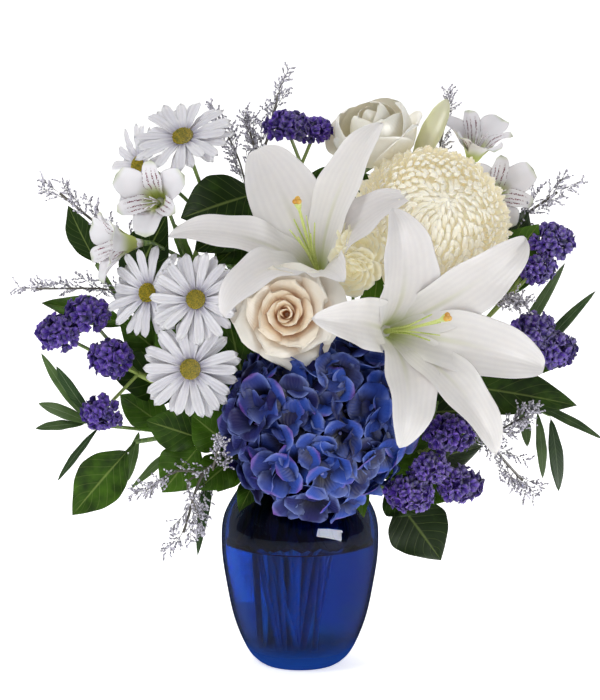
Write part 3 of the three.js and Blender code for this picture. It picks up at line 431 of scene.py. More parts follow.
def stem_finish(name, green, pale):
    """Stem: streaks that run along it, and a painted paler, bluish light under the water."""
    f = Finish(name, Roughness=0.45)
    streak = f.noise(60, 3, f.place((14, 14, 1)))
    body = f.blend((streak + f.read("chance") * 0.4).ramp(0.35, 0.95), colour(green), colour(pale))
    # Painted light: a paler, bluish tone on the stem below the waterline.
    body = f.blend(f.metres("Z").ramp(*UNDERWATER_LIGHT) * (0.5 + streak * 0.5), body, colour("#b2c4e8"))
    return f.use(Base_Color=body, Normal=f.bump(streak, 0.3, 0.0004))


def glass_finish(name, tint, through, edge, ior, depth_tint=None, density=0, foot=None, swirl=None):
    """Clear body. Most of it lets light through without a reflection, all the more where it is seen edge
    on, so that the pale room doesn't veil it, and there it takes the edge colour, a painted shade. A depth
    tint takes light away along the way through it, a swirl colour runs through it in upright streaks, and
    a foot colour, a painted light, stands for the light that the thick foot gathers."""
    f = Finish(name, Base_Color=colour(tint), IOR=ior, Transmission_Weight=1.0)
    outlet = f.tree.nodes["Material Output"]

    def see_through(code):
        return f.node("BsdfRefraction", {"Color": colour(code), "Roughness": 0.0, "IOR": ior})

    def mix(share, one, other):
        return f.node("MixShader", {0: share, 1: one, 2: other})

    clear = see_through(through)
    side_on = f.node("LayerWeight", {"Blend": 0.5}, out="Facing")
    if swirl:
        streaks = f.noise(24, 3, f.place((1, 1, 0.35)))
        clear = mix(streaks.ramp(0.45, 0.62) * 0.6, clear, see_through(swirl))
    # Painted shade: the edge colour where the body is seen edge on.
    clear = mix(side_on.ramp(0.5, 0.95) * 0.85, clear, see_through(edge))
    body = mix(side_on.ramp(0.4, 0.9) * 0.25 + 0.74, Value(f, f.shader.outputs[0]), clear)
    if foot:
        # Painted light: low down, an opaque blue stands for the light that the thick foot gathers.
        painted_foot_light = f.node("BsdfDiffuse", {"Color": colour(foot)})
        body = mix(f.metres("Z").ramp(*PAINTED_FOOT_SPAN) * 0.8, body, painted_foot_light)
    f.tree.links.new(body.socket, outlet.inputs["Surface"])
    if depth_tint:
        inner = f.node("VolumeAbsorption", {"Color": colour(depth_tint), "Density": density})
        f.tree.links.new(inner.socket, outlet.inputs["Volume"])
    return f.use(Roughness=f.noise(30, 2) * 0.006)


FINISHES = dict(
    hydrangea=hydrangea_finish(),
    eye=grainy("hydrangea_eye", "#9fa4e6", "#5b62c8", 500),
    core=grainy("shade_core", "#10133f", "#1c1f60", 200),
    lily=veined("lily_white", "#b4c060", "#ede9e5", "#f8f5f2", rib="#cdd0a4", veins=30,
                throat=0.27, streak=0.05, strength=0.25, glow=0.05),
    bud=veined("lily_bud_green", "#a9b356", "#dfe0b0", "#e9e7c6", veins=9, rough=0.45),
    style=stem_finish("lily_style_green", "#a9bf4a", "#d3dd86"),
    stigma=grainy("stigma_amber", "#c98a1a", "#e3b23c", 600),
    rose=rose_finish("rose_cream", "#eee9de", "#f4e3c8", "#cc8130"),
    ivory_rose=rose_finish("rose_ivory", "#f0ede4", "#f4f0e2", "#e2d9b4"),
    spray_rose=veined("spray_rose_cream", "#dcd08e", "#f2ecce", "#faf7e6", veins=16, soft=0.3,
                      shade="#ebdca0", glow=0.12),
    mum=veined("mum_cream", "#efe3bc", "#faf4e0", "#fffdf4", veins=6, soft=0.35, shade="#eee2bc",
               glow=0.12, strength=0.2),
    # Painted shade: the grey-lilac base colour at the foot of each ray, next to the disc.
    daisy=veined("daisy_white", "#9f9ab4", "#f2f0f5", "#ffffff", veins=9, strength=0.8, streak=0.1),
    disc=grainy("daisy_disc", "#5d6a12", "#b59f22", 700, 0.8, 0.8),
    alstroemeria=alstroemeria_finish(),
    statice=statice_finish(),
    statice_green=stem_finish("statice_green", "#5d7c35", "#9db25a"),
    caspia_bud=grainy("caspia_bud", "#343148", "#e6e3f0", 800, 0.85),
    caspia_stem=stem_finish("caspia_stem", "#3d3a34", "#5f5a50"),
    salal=leafy("salal_leaf", "#1c3305", "#466c14", "#93a858"),
    # Near-black leaves for the vase's neck: painted shade.
    neck=leafy("neck_leaf_shade", "#120a1e", "#26163e", "#3a2a5c"),
    willow=leafy("willow_leaf", "#2a4420", "#56703c", "#8ea27a", rough=0.5, side_veins=16, strength=0.2),
    stem=stem_finish("green_stem", "#3f5e22", "#7f9a45"),
    sepal=leafy("sepal_green", "#4b6a2a", "#7f9a4a", "#a3b76a", side_veins=4),
    # Its third colour, #465ab4, is a painted shade where the glass is seen edge on; its foot colour, #143f90,
    # is a painted light.
    glass=glass_finish("cobalt_glass", "#74c4ea", "#86d6ee", "#465ab4", 1.5, "#2fa0cc", 450.0,
                       foot="#143f90", swirl="#98a8de"),
    # Its third colour, #e4ecf8, is a painted shade where the water is seen edge on.
    water=glass_finish("vase_water", "#eaf2ff", "#f4f8ff", "#e4ecf8", 1.33),
)


# ---- surfaces
def unit(v):
    """Vectors made 1 long."""
    return v / np.linalg.norm(v, axis=-1, keepdims=True)


def golden_ball(n, reach):
    """The cosine, sine and turn of n directions, by the golden angle, from the top to cosine 1 - reach."""
    i = np.arange(n)
    cos = 1 - reach * (i + 0.5) / n
    return cos, np.sqrt(1 - cos ** 2), i * GOLDEN


def facing(at, azimuth, elevation, **_):
    """A flower's own frame: its place, its right, its top, and the way it faces."""
    a, e = np.radians(azimuth), np.radians(elevation)
    z = np.array([np.sin(a) * np.cos(e), -np.cos(a) * np.cos(e), np.sin(e)])
    x = np.array([np.cos(a), np.sin(a), 0.0])
    return np.array(at, float), x, np.cross(z, x), z


def spot(f, x, y, z):
    """A point in a flower's own frame."""
    return f[0] + x * f[1] + y * f[2] + z * f[3]


def outline(base, peak, tip):
    """Half width along a petal: a quarter sine from base to peak, then a cosine raised to tip."""
    def shape(t):
        rise = base + (1 - base) * np.sin(np.pi / 2 * np.minimum(t / peak, 1))
        fall = np.cos(np.pi / 2 * np.clip((t - peak) / (1 - peak), 0, 1)) ** tip
        return np.where(t < peak, rise, fall)
    return shape


LANCE = outline(0.25, 0.5, 0.75)
LILY_PETAL = outline(0.14, 0.5, 0.7)
FAN = outline(0.3, 0.66, 0.34)
HEART = outline(0.34, 0.52, 0.5)
SPOON = outline(0.36, 0.7, 0.36)
OVAL = outline(0.12, 0.42, 1.0)
RIBBON = outline(0.6, 0.6, 0.4)
ROSE_EDGE = outline(0.55, 0.5, 0.5)


def smooth(x):
    """0 below 0, 1 above 1, and 3x^2 - 2x^3 between them."""
    x = np.clip(x, 0, 1)
    return x * x * (3 - 2 * x)


def sleeves(points, **marks):
    """Closed sleeves from points[sleeve, row, place in its ring], as (points, quads, marks). The mark along
    runs from 0 in the first row to 1 in the last."""
    count, rows, ring = points.shape[:3]
    marks["along"] = np.linspace(0, 1, rows)[:, None]
    b, i, j = np.meshgrid(np.arange(count), np.arange(rows - 1), np.arange(ring), indexing="ij")

    def at(row, place):
        return (b * rows + row) * ring + place % ring

    quads = np.stack([at(i, j), at(i + 1, j), at(i + 1, j + 1), at(i, j + 1)], -1).reshape(-1, 4)
    marks = {key: np.broadcast_to(value, (count, rows, ring)).reshape(-1) for key, value in marks.items()}
    return points.reshape(-1, 3), quads, marks


def strips(spine, side, up, half, *, nu=7, cup=0.0, thick=0.6, ruffle=0.0, waves=3.0, groove=0.0, chance=0.0,
           notch=0.0):
    """Blades round their spines. A point is spine + side * half * u + up * lift, where u runs from edge
    to edge above and back below. Lift = cup * half * u^2 + a wave at the edges, minus a groove along the
    rib, plus half the thickness * sqrt(1 - u^2) above and minus it below."""
    count, rows = half.shape
    top = np.sin(np.linspace(-np.pi / 2, np.pi / 2, nu))
    u = np.concatenate([top, top[-2:0:-1]])
    face = np.concatenate([np.ones(nu), -np.ones(nu - 2)]) * np.sqrt(1 - u * u)
    v = np.linspace(0, 1, rows)[None, :, None]

    def per(value):
        return np.broadcast_to(np.asarray(value, float), (count,))[:, None, None]

    h = half[:, :, None]
    fade = np.minimum(1, h / (0.3 * h.max(axis=1, keepdims=True)))
    wave = np.sin(2 * np.pi * per(waves) * v + TURN * per(chance) + 2.4 * u) * np.sin(np.pi * v) * u * u
    lift = per(cup) * h * u * u + fade * (per(ruffle) * wave - per(groove) * np.exp(-(u / 0.22) ** 2)
                                          + 0.5 * per(thick) * face)
    points = spine[:, :, None] + side[:, :, None] * (h * u)[..., None] + up[:, :, None] * lift[..., None]
    if notch:
        along = np.gradient(spine, axis=1)[:, :, None]
        points = points - along * (per(notch) * (1 - np.abs(u)) ** 2 * np.maximum(0, v - 0.8) * 5)[..., None]
    return sleeves(points, across=u, chance=per(chance))


def shell(middle, thick, **marks):
    """A closed thin skin round a middle surface, middle[piece, row, place across]. A point is the middle
    plus or minus its normal * half the thickness * sqrt(1 - u^2), front then back."""
    u = np.sin(np.linspace(-np.pi / 2, np.pi / 2, middle.shape[2]))
    normal = np.cross(np.gradient(middle, axis=1), np.gradient(middle, axis=2))
    normal /= np.linalg.norm(normal, axis=-1, keepdims=True) + 1e-9
    lift = normal * (0.5 * thick * np.sqrt(1 - u * u))[:, None]
    points = np.concatenate([middle + lift, (middle - lift)[:, :, -2:0:-1]], 2)
    return sleeves(points, across=np.concatenate([u, u[-2:0:-1]]), **marks)


def cupped(f, count, keys, curves, half, roll, size):
    """Rose petals, from the outermost in, a golden angle apart. Each is part of a cup: a cubic curve of
    (radius, height) through four control points, turned round the axis through an angle u * half * outline,
    with one edge outside its neighbour (radius grows with u) and the rim rolled out by roll * e, where e
    rises near every edge, and once more at a point in its middle. Curves, half and roll are given at a few
    keys and blended between them."""
    q = np.linspace(0, 1, count)
    t = np.linspace(0, 1, 22)[None, :, None]
    u = np.sin(np.linspace(-np.pi / 2, np.pi / 2, 19))[None, None]
    curves = np.asarray(curves, float)
    weights = ((1 - t) ** 3, 3 * t * (1 - t) ** 2, 3 * t * t * (1 - t), t ** 3)

    def per(values):
        return np.interp(q, keys, values)[:, None, None]

    radius, height = (sum(w * per(curves[:, point, axis]) for point, w in enumerate(weights))
                      for axis in (0, 1))
    wave = rng.uniform(0, TURN, (count, 1, 1))
    vary = rng.uniform(0.95, 1.05, (count, 1, 1))
    a = GOLDEN * np.arange(count)[:, None, None] + np.radians(per(half)) * u * ROSE_EDGE(t)
    near_side = smooth((abs(u) - 0.4) / 0.6) * smooth((t - 0.3) / 0.4)
    lip = per(roll) * (1 - (1 - smooth((t - 0.7) / 0.3)) * (1 - near_side))
    radius = radius * vary * (1 + 0.09 * u) + lip + 0.5 * np.sin(3 * a + wave) * t ** 2
    radius = radius + 0.5 * per(roll) * np.maximum(0, 1 - 2 * abs(u)) ** 1.5 * t ** 4
    height = height + 2 * (vary - 1) * 20 - 0.1 * lip ** 2 + 0.8 * np.sin(2 * a + 2 * wave) * t ** 2
    middle = f[0] + size * ((radius * np.cos(a))[..., None] * f[1] + (radius * np.sin(a))[..., None] * f[2]
                            + height[..., None] * f[3])
    return shell(middle, 0.7, chance=q[:, None, None])


def petals(f, angle, length, width, lean, *, start=3.0, rise=0.0, shape=LANCE, rows=12, curl=0.0, roll=0.0,
           sway=0.0, chance=None, **form):
    """Petals round an axis. Each leaves it at lean[0] degrees from the way the flower faces, and turns
    through lean[1] half way to lean[2] at its tip, with a last curl. Its spine is the sum of its steps
    along that lean, angle is where it points round the flower, and roll tips its edges."""
    origin, x, y, z = (np.atleast_2d(part)[:, None] for part in f)
    angle = np.radians(np.atleast_1d(np.asarray(angle, float)))
    count = len(angle)

    def per(value):
        return np.broadcast_to(np.asarray(value, float), (count,))[:, None]

    lean = np.broadcast_to(np.asarray(lean, float), (count, 3))
    a0, a1, a2 = np.radians(lean).T[:, :, None]
    t = np.linspace(0, 1, rows)[None]

    def bend(s):
        return (a0 * (1 - s) * (1 - 2 * s) + a1 * 4 * s * (1 - s) + a2 * s * (2 * s - 1)
                + np.radians(per(curl)) * np.maximum(0, (s - 0.72) / 0.28) ** 2)

    step = per(length) / (rows - 1)
    mid = bend((t[:, 1:] + t[:, :-1]) / 2)
    zero = np.zeros((count, 1))
    r = per(start) + np.concatenate([zero, np.cumsum(step * np.sin(mid), 1)], 1)
    h = per(rise) + np.concatenate([zero, np.cumsum(step * np.cos(mid), 1)], 1)
    out = np.cos(angle)[:, None, None] * x + np.sin(angle)[:, None, None] * y
    a = bend(t)[..., None]
    up = -np.cos(a) * out + np.sin(a) * z
    tangent = np.sin(a) * out + np.cos(a) * z
    tip_over = np.radians(per(roll))[..., None]
    up = up * np.cos(tip_over) + np.cross(tangent, up) * np.sin(tip_over)
    side = np.cross(up, tangent)
    spine = origin + r[..., None] * out + h[..., None] * z + side * (per(sway) * t ** 2)[..., None]
    half = 0.5 * per(width) * shape(t)
    half[:, 0] = 0
    chance = rng.random(count) if chance is None else chance
    return strips(spine, side, up, half, chance=chance, **form)


def leaves(base, tip, face, width, *, arch=0.12, shape=OVAL, rows=14, stalk=0.14, serrate=0.0, **form):
    """Leaves from base to tip. The spine is a quadratic curve, raised in its middle along the face."""
    base, tip, face = (np.atleast_2d(np.asarray(part, float))[:, None] for part in (base, tip, face))
    t = np.linspace(0, 1, rows)[None, :, None]
    middle = (base + tip) / 2 + face * arch * np.linalg.norm(tip - base, axis=-1, keepdims=True)
    spine = (1 - t) ** 2 * base + 2 * t * (1 - t) * middle + t ** 2 * tip
    tangent = unit(2 * (1 - t) * (middle - base) + 2 * t * (tip - middle))
    side = unit(np.cross(tangent, np.broadcast_to(face, tangent.shape)))
    s = t[..., 0]
    blade = np.where(s < stalk, 0.06, shape(np.clip((s - stalk) / (1 - stalk), 0, 1)))
    teeth = 1 + serrate * np.sin(s * 150) * (s > stalk)
    half = 0.5 * np.asarray(width, float).reshape(-1, 1) * blade * teeth
    half = half + 0 * spine[..., 0]
    half[:, 0] = 0
    return strips(spine, side, np.cross(side, tangent), half, chance=rng.random(len(half)), **form)


def tube(path, radius, sides=12):
    """A round rod: rings square to a path, their sides set out from the line that the path bends least
    towards, closed to a point at both ends."""
    path = np.asarray(path, float)
    radius = np.broadcast_to(np.asarray(radius, float), (len(path),))
    tangent = unit(np.gradient(path, axis=0))
    flat = np.linalg.svd(tangent)[2][-1]
    side = unit(flat - tangent * (tangent @ flat)[:, None])
    other = np.cross(tangent, side)
    ends = [0, *range(len(path)), len(path) - 1]
    radius = np.concatenate([[0], radius, [0]])
    a = -2 * np.pi * np.arange(sides) / sides
    ring = side[ends][:, None] * np.cos(a)[:, None] + other[ends][:, None] * np.sin(a)[:, None]
    points = path[ends][:, None] + ring * radius[:, None, None]
    return sleeves(points[None], across=np.cos(a), chance=rng.random())


def turned(profile, f=None, sides=48):
    """A profile of (radius, height) points turned round a flower's axis, or round the upright axis."""
    f = f or (np.zeros(3), *np.eye(3))
    profile = np.asarray(profile, float)
    a = -2 * np.pi * np.arange(sides) / sides
    ring = np.cos(a)[:, None] * f[1] + np.sin(a)[:, None] * f[2]
    points = f[0] + profile[:, :1, None] * ring + profile[:, 1:, None] * f[3]
    return sleeves(points[None], across=np.cos(a), chance=0.5)


def beads(centres, axes, size, rows=5, ring=6):
    """Small egg shapes: radius size[0] * sin(p) and height size[1] * cos(p) about each axis."""
    centres, axes = np.atleast_2d(centres), unit(np.atleast_2d(axes))
    size = np.broadcast_to(np.asarray(size, float), (len(centres), 2))
    helper = np.where(np.abs(axes[:, 2:]) < 0.9, [[0, 0, 1.0]], [[1.0, 0, 0]])
    side = unit(np.cross(axes, helper))
    other = np.cross(axes, side)
    p = np.linspace(np.pi, 0, rows)[None, :, None, None]
    a = (-2 * np.pi * np.arange(ring) / ring)[None, None, :, None]
    around = side[:, None, None] * np.cos(a) + other[:, None, None] * np.sin(a)
    points = (centres[:, None, None] + around * np.sin(p) * size[:, None, None, :1]
              + axes[:, None, None] * np.cos(p) * size[:, None, None, 1:])
    return sleeves(points, across=0.0, chance=rng.random(len(centres))[:, None, None])


def route(points, count=28):
    """A smooth line through points, by centripetal Catmull-Rom pieces, with its points evenly spaced."""
    p = np.array(points, float)
    p = np.vstack([2 * p[0] - p[1], p, 2 * p[-1] - p[-2]])
    d = np.linalg.norm(np.diff(p, axis=0), axis=1)[:, None] ** 0.5
    p0, p1, p2, p3, d0, d1, d2 = p[:-3], p[1:-2], p[2:-1], p[3:], d[:-2], d[1:-1], d[2:]
    m1 = ((p1 - p0) / d0 - (p2 - p0) / (d0 + d1) + (p2 - p1) / d1) * d1
    m2 = ((p2 - p1) / d1 - (p3 - p1) / (d1 + d2) + (p3 - p2) / d2) * d1
    t = np.linspace(0, 1, 24, endpoint=False)[None, :, None]
    c2, c3 = 3 * (p2 - p1) - 2 * m1 - m2, 2 * (p1 - p2) + m1 + m2
    line = (p1[:, None] + m1[:, None] * t + c2[:, None] * t ** 2 + c3[:, None] * t ** 3).reshape(-1, 3)
    line = np.vstack([line, p[-2]])
    length = np.concatenate([[0], np.cumsum(np.linalg.norm(np.diff(line, axis=0), axis=1))])
    even = np.linspace(0, length[-1], count)
    return np.stack([np.interp(even, length, line[:, k]) for k in range(3)], 1)


def on_route(line, share):
    """The points of a line at shares of its length, and the way that it runs there."""
    at = np.asarray(share) * (len(line) - 1)
    low = np.minimum(at.astype(int), len(line) - 2)
    part = (at - low)[..., None]
    return line[low] * (1 - part) + line[low + 1] * part, unit(line[low + 1] - line[low])


# ---- making a piece
def piece(name, skins, finish, *nodes, slot):
    """Joins skins into one closed mesh in metres, with its marks, and hands it to the frame."""
    offsets = np.cumsum([0] + [len(points) for points, _, _ in skins])
    points = np.concatenate([points for points, _, _ in skins]) * MM
    quads = np.concatenate([quads + start for (_, quads, _), start in zip(skins, offsets)])
    mesh = bpy.data.meshes.new(name)
    mesh.vertices.add(len(points))
    mesh.vertices.foreach_set("co", points.astype(np.float32).ravel())
    mesh.loops.add(quads.size)
    mesh.loops.foreach_set("vertex_index", quads.astype(np.int32).ravel())
    mesh.polygons.add(len(quads))
    mesh.polygons.foreach_set("loop_start", np.arange(0, quads.size, 4, dtype=np.int32))
    mesh.update(calc_edges=True)
    for key in ("across", "along", "chance"):
        values = np.concatenate([marks[key] for _, _, marks in skins]).astype(np.float32)
        mesh.attributes.new(key, "FLOAT", "POINT").data.foreach_set("value", values)
    mesh.materials.append(FINISHES[finish])
    shell = bmesh.new()
    shell.from_mesh(mesh)
    bmesh.ops.remove_doubles(shell, verts=shell.verts, dist=1e-6)
    shell.to_mesh(mesh)
    shell.free()
    mesh.shade_smooth()
    made = bpy.data.objects.new(name, mesh)
    bpy.context.scene.collection.objects.link(made)
    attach(made, "root")
    if nodes:
        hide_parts(*nodes)
    return made


# ---- stems
def bunch_place(ring, number):
    """A stem's neck and foot points at a place in the spiral bunch. Each foot is turned and drawn in by
    its own amount, round a point 8 mm left of the middle."""
    radius, count, turn = NECK_RINGS[ring]
    angle = np.radians(turn + 360 / count * number)
    low = angle + np.radians(FOOT_TWIST + 40 * np.sin(7 * number + 3 * ring))
    neck = np.array([radius * np.cos(angle), radius * np.sin(angle), NECK_HEIGHT])
    reach = radius * FOOT_SPREAD * (1 + 0.4 * np.sin(5 * number + ring))
    foot = np.array([reach * np.cos(low) - 8, reach * np.sin(low), FOOT_HEIGHT])
    return neck, foot


def behind(flower, depth, lead=9):
    """The last two points of a flower's stem, square to its back."""
    f = facing(**flower)
    return [spot(f, 0, 0, -depth - lead), spot(f, 0, 0, -depth)]


def rod(lead, way, end, radius, flare, steps, sides):
    """A rod along a lead and a smooth way. An end in two points has its last stretch straight, and may
    flare there."""
    ends = list(end) if isinstance(end, list) else [end]
    path = np.vstack([*lead, route([*way, ends[0]], steps), *ends[1:]])
    size = np.full(len(path), float(radius))
    size[-1] = flare or radius
    return tube(path, size, sides)


def stem(place, via, end, radius, flare=0.0):
    """A stem from its cut foot straight to the vase's mouth, then along its route."""
    neck, foot = bunch_place(*place)
    return rod(np.linspace(foot, neck, 8)[:-1], [neck, *via], end, radius, flare, 28, 12)


def branch(start, via, end, radius, flare=0.0):
    """A thinner rod from a fork."""
    return rod([], [start, *via], end, radius, flare, 14, 10)


def stalk(name, rods):
    """Hands over the green stem that stands for a node."""
    piece(f"{name}_stalk", rods, "stem", f"{name}_stem", slot="green_stem")


def spray(name, flowers, depth, radius, thin, flare):
    """A stem that forks to its flowers."""
    place, (*via, fork) = ROUTES[name]
    rods = [stem(place, via, fork, radius)]
    for flower in flowers:
        size = flower.get("size", 1)
        rods.append(branch(fork, [], behind(flower, depth * size), thin, flare * size))
    stalk(name, rods)


# ---- vase and water
outside = route([(r, 0, z) for r, z in VASE_OUTLINE], 60)[:, [0, 2]]
inside = outside[outside[:, 1] > VASE_FLOOR + 2] - [VASE_WALL, 0]
lip = [(VASE_OUTLINE[-1][0] - VASE_WALL * (0.5 - 0.5 * np.cos(a)), VASE_HEIGHT + 1.2 * np.sin(a))
       for a in np.linspace(0, np.pi, 7)]
foot_ring = [(0, 5.5), (20, 5), (24.5, 2), (26, 0), (29, 0)]
floor = [(inside[0][0] - 2, VASE_FLOOR + 0.5), (inside[0][0] - 8, VASE_FLOOR), (0, VASE_FLOOR)]
piece("vase", [turned([*foot_ring, *outside[1:-1], *lip, *inside[-2::-1], *floor], sides=128)], "glass",
      "vase_glass", slot="blue_glass")

wet = inside[inside[:, 1] < WATER_LEVEL] - [0.3, 0]
rim = np.interp(WATER_LEVEL, inside[:, 1], inside[:, 0]) - 0.3
bed = [(0, VASE_FLOOR + 0.4), (wet[0][0] - 8, VASE_FLOOR + 0.4)]
surface = [(rim, WATER_LEVEL + 0.6), (rim - 1.2, WATER_LEVEL - 0.4), (rim - 3, WATER_LEVEL - 0.8),
           (0, WATER_LEVEL - 0.8)]
piece("water", [turned([*bed, *wet, *surface], sides=128)], "water", "vase_water", slot="water")


# ---- hydrangea
def hydrangea():
    """Four-petalled florets whose centres lie on a dome, by the golden angle, each tilted a little."""
    h, n = HYDRANGEA, HYDRANGEA["florets"]
    origin, x, y, z = facing(**h)
    cos, sin, a = golden_ball(n, 1 - (h["back"] + 2) / h["radius"])
    out = (sin * np.cos(a))[:, None] * x + (sin * np.sin(a))[:, None] * y + cos[:, None] * z
    tilt = unit(out + 0.42 * jitter(n, 3))
    side = unit(np.cross(jitter(n, 3), tilt))
    centre = origin + out * (h["radius"] - 10 + 4.5 * jitter(n, 1))
    # Florets within 56 mm of the front rose's centre sink by up to 8 mm.
    from_rose = np.linalg.norm(centre - ROSE_FRONT["at"], axis=1, keepdims=True)
    centre = centre - out * 8 * np.clip((56 - from_rose) / 14, 0, 1)
    size = h["petal"] * rng.uniform(0.86, 1.1, n)
    four = np.repeat(np.arange(n), 4)
    angle = np.tile([0, 90, 180, 270], n) + 5 * jitter(4 * n)
    own = (centre[four], side[four], np.cross(tilt, side)[four], tilt[four])
    floret_chance = np.clip(rng.random(n)[four] + 0.12 * jitter(4 * n), 0, 1)
    lean = np.stack([low + more * rng.random(4 * n) for low, more in ((30, 26), (46, 32), (70, 75))], 1)
    blooms = petals(own, angle, size[four], size[four] * rng.uniform(0.95, 1.15, 4 * n), lean, start=0.6,
                    shape=HEART, rows=11, nu=9, cup=0.4 * rng.uniform(-0.5, 1, 4 * n), ruffle=2.2, waves=1.5,
                    thick=0.5, groove=0.7, roll=10 * jitter(4 * n), chance=floret_chance)
    eyes = beads(centre + tilt * 1.2, tilt, (1.5, 1.3))
    stalks = petals((centre - tilt * 13, side, np.cross(tilt, side), tilt), np.zeros(n), 13.5, 1.6,
                    (0, 0, 0), start=0, rows=3, nu=3, shape=lambda t: 1 - 0 * t, thick=1.4)
    return blooms, eyes, stalks


blooms, eyes, stalks = hydrangea()
h = HYDRANGEA
head = facing(**h)
dome = [(0, h["back"]), (h["core"] * 0.9, h["back"]),
        *[(h["core"] * np.cos(t), h["core"] * np.sin(t)) for t in np.linspace(-0.3, np.pi / 2, 14)]]
dome[-1] = (0, h["core"])
piece("hydrangea_florets", [blooms], "hydrangea", "hydrangea_head", slot="hydrangea_petal")
piece("hydrangea_eyes", [eyes], "eye", slot="hydrangea_petal")
# The dome and the floret stalks take the near-black shade_core finish: painted shade inside the head.
piece("hydrangea_stalks", [stalks, turned(dome, head)], "core", slot="hydrangea_petal")
piece("hydrangea_stem_green", [stem((2, 7), [], behind(h, 20, 6), 3.6, 5)], "stem", "hydrangea_stem",
      slot="green_stem")


# ---- lilies
def lily(side, flower):
    """Six recurved petals with waved edges and a grooved rib, a style with a swollen tip, and filaments."""
    f = facing(**flower)
    angle, length, width, middle, tip = np.array(flower["petals"], float).T
    lean = np.stack([np.full(6, 12.0), middle, tip], 1)
    blades = petals(f, angle, length, width * 1.04, lean, start=3 + 1.8 * (np.arange(6) % 2), rise=-LILY_TUBE,
                    shape=LILY_PETAL, rows=34, nu=13, cup=0.3, thick=0.9, ruffle=2.2, waves=3.4, groove=1.3,
                    curl=26)
    hub = [(0, -1), (4.4, -0.6), (6, 4), (0, 4)]
    hub = turned([(r, z - LILY_TUBE) for r, z in hub], f, 20)
    piece(f"lily_{side}_bloom", [blades, hub], "lily", f"lily_{side}_petals", slot="lily_petal")
    foot = -LILY_TUBE + 4.4
    style = route([spot(f, 0, y, z) for y, z in ((0, foot), (0, -8), (2, 22), (5, 50), (6, 56))], 20)
    size = np.interp(np.linspace(0, 1, 20), [0, 0.2, 0.5, 0.9, 0.96, 1], [2.2, 1.5, 1.1, 1.1, 2.6, 3.0])
    rods = [tube(style, size, 12)]
    for a in np.radians([20, 80, 140, 200, 260, 320]):
        x, y = np.cos(a), np.sin(a)
        rods.append(tube(route([spot(f, r * x, r * y, z) for r, z in ((0.8, foot + 3), (3, 4), (9, 34))], 12),
                         np.linspace(0.9, 0.5, 12), 6))
    piece(f"lily_{side}_style", rods, "style", f"lily_{side}_pistil", slot="lily_pistil")
    around = np.radians([90, 210, 330])
    lobes = np.array([spot(f, 1.6 * np.cos(a), 6 + 1.6 * np.sin(a), 57) for a in around])
    piece(f"lily_{side}_stigma", [beads(lobes, np.tile(f[3], (3, 1)), (2.0, 1.6), 7, 10)], "stigma",
          slot="lily_pistil")


lily("left", LILY_LEFT)
lily("right", LILY_RIGHT)
bud_base, bud_tip = np.array(LILY_BUD["base"], float), np.array(LILY_BUD["tip"], float)
bud_axis = unit(bud_tip - bud_base)
place, (via, fork) = ROUTES["lily_left"]
stalk("lily_left", [stem(place, [via], fork, 3), branch(fork, [], behind(LILY_LEFT, LILY_TUBE + 1), 2.1, 3.6),
                    branch(fork, [(52, 12, 330)], [bud_base - 7 * bud_axis, bud_base], 2, 3)])
up_bud = np.linspace(0, 1, 22)
swell = np.interp(up_bud, [0, 0.1, 0.3, 0.55, 0.8, 0.93, 1], [0.35, 0.6, 0.88, 1, 0.8, 0.5, 0.15])
bud = tube(bud_base + up_bud[:, None] * (bud_tip - bud_base), LILY_BUD["radius"] * swell, 24)
piece("lily_bud_closed", [bud], "bud", "lily_bud", slot="lily_bud")
stalk("lily_right", [stem(*ROUTES["lily_right"], behind(LILY_RIGHT, LILY_TUBE + 1), 2.8, 3.6)])


# ---- roses
# The cup of a petal is four control points of (radius, height) in the rose's own frame, given for the
# outermost petal, for some between and for the innermost one.
OPEN_ROSE = dict(count=23, keys=(0, 0.35, 0.7, 1), half=(58, 60, 74, 120), roll=(8, 5, 2.2, 0.6), curves=[
    [(5, -37), (30, -40), (30, -16), (37, -15)], [(5, -36), (24, -34), (20, -6), (28, -2)],
    [(3, -30), (12, -26), (8, 1), (14, 4)], [(1.5, -22), (4, -14), (2, 3), (3, 7)]])
CLOSED_ROSE = dict(count=11, keys=(0, 0.3, 0.6, 1), half=(72, 80, 90, 120), roll=(7, 3.5, 2, 0.5), curves=[
    [(5, -38), (42, -38), (39, -8), (35, 2)], [(5, -38), (42, -36), (41, 0), (25, 9)],
    [(4, -34), (32, -32), (32, 4), (14, 14)], [(2, -28), (12, -24), (14, 6), (2, 17)]])


def rose(name, flower, finish, whorls):
    """Cupped petals round a hub, and a stem with five sepals."""
    f, s = facing(**flower), flower["size"]
    skins = [cupped(f, **whorls, size=s)]
    hub = [(0, -40), (8, -40), (12, -36), (8, -30), (0, -28)]
    skins.append(turned([(r * s, z * s) for r, z in hub], f, 28))
    piece(f"{name}_bloom", skins, finish, f"{name}_petals", slot="rose_petal")
    end = behind(flower, ROSE_DEPTH * s)
    calyx = (end[1], *f[1:])
    sepals = petals(calyx, 72 * np.arange(5) + 10, 15, 7, (80, 104, 130), start=2.5, rise=-3, rows=10,
                    thick=0.8, cup=0.2)
    stalk(name, [stem(*ROUTES[name], end, 2.6, 6 * s), sepals])


rose("rose_front", ROSE_FRONT, "rose", OPEN_ROSE)
rose("rose_back", ROSE_BACK, "ivory_rose", CLOSED_ROSE)

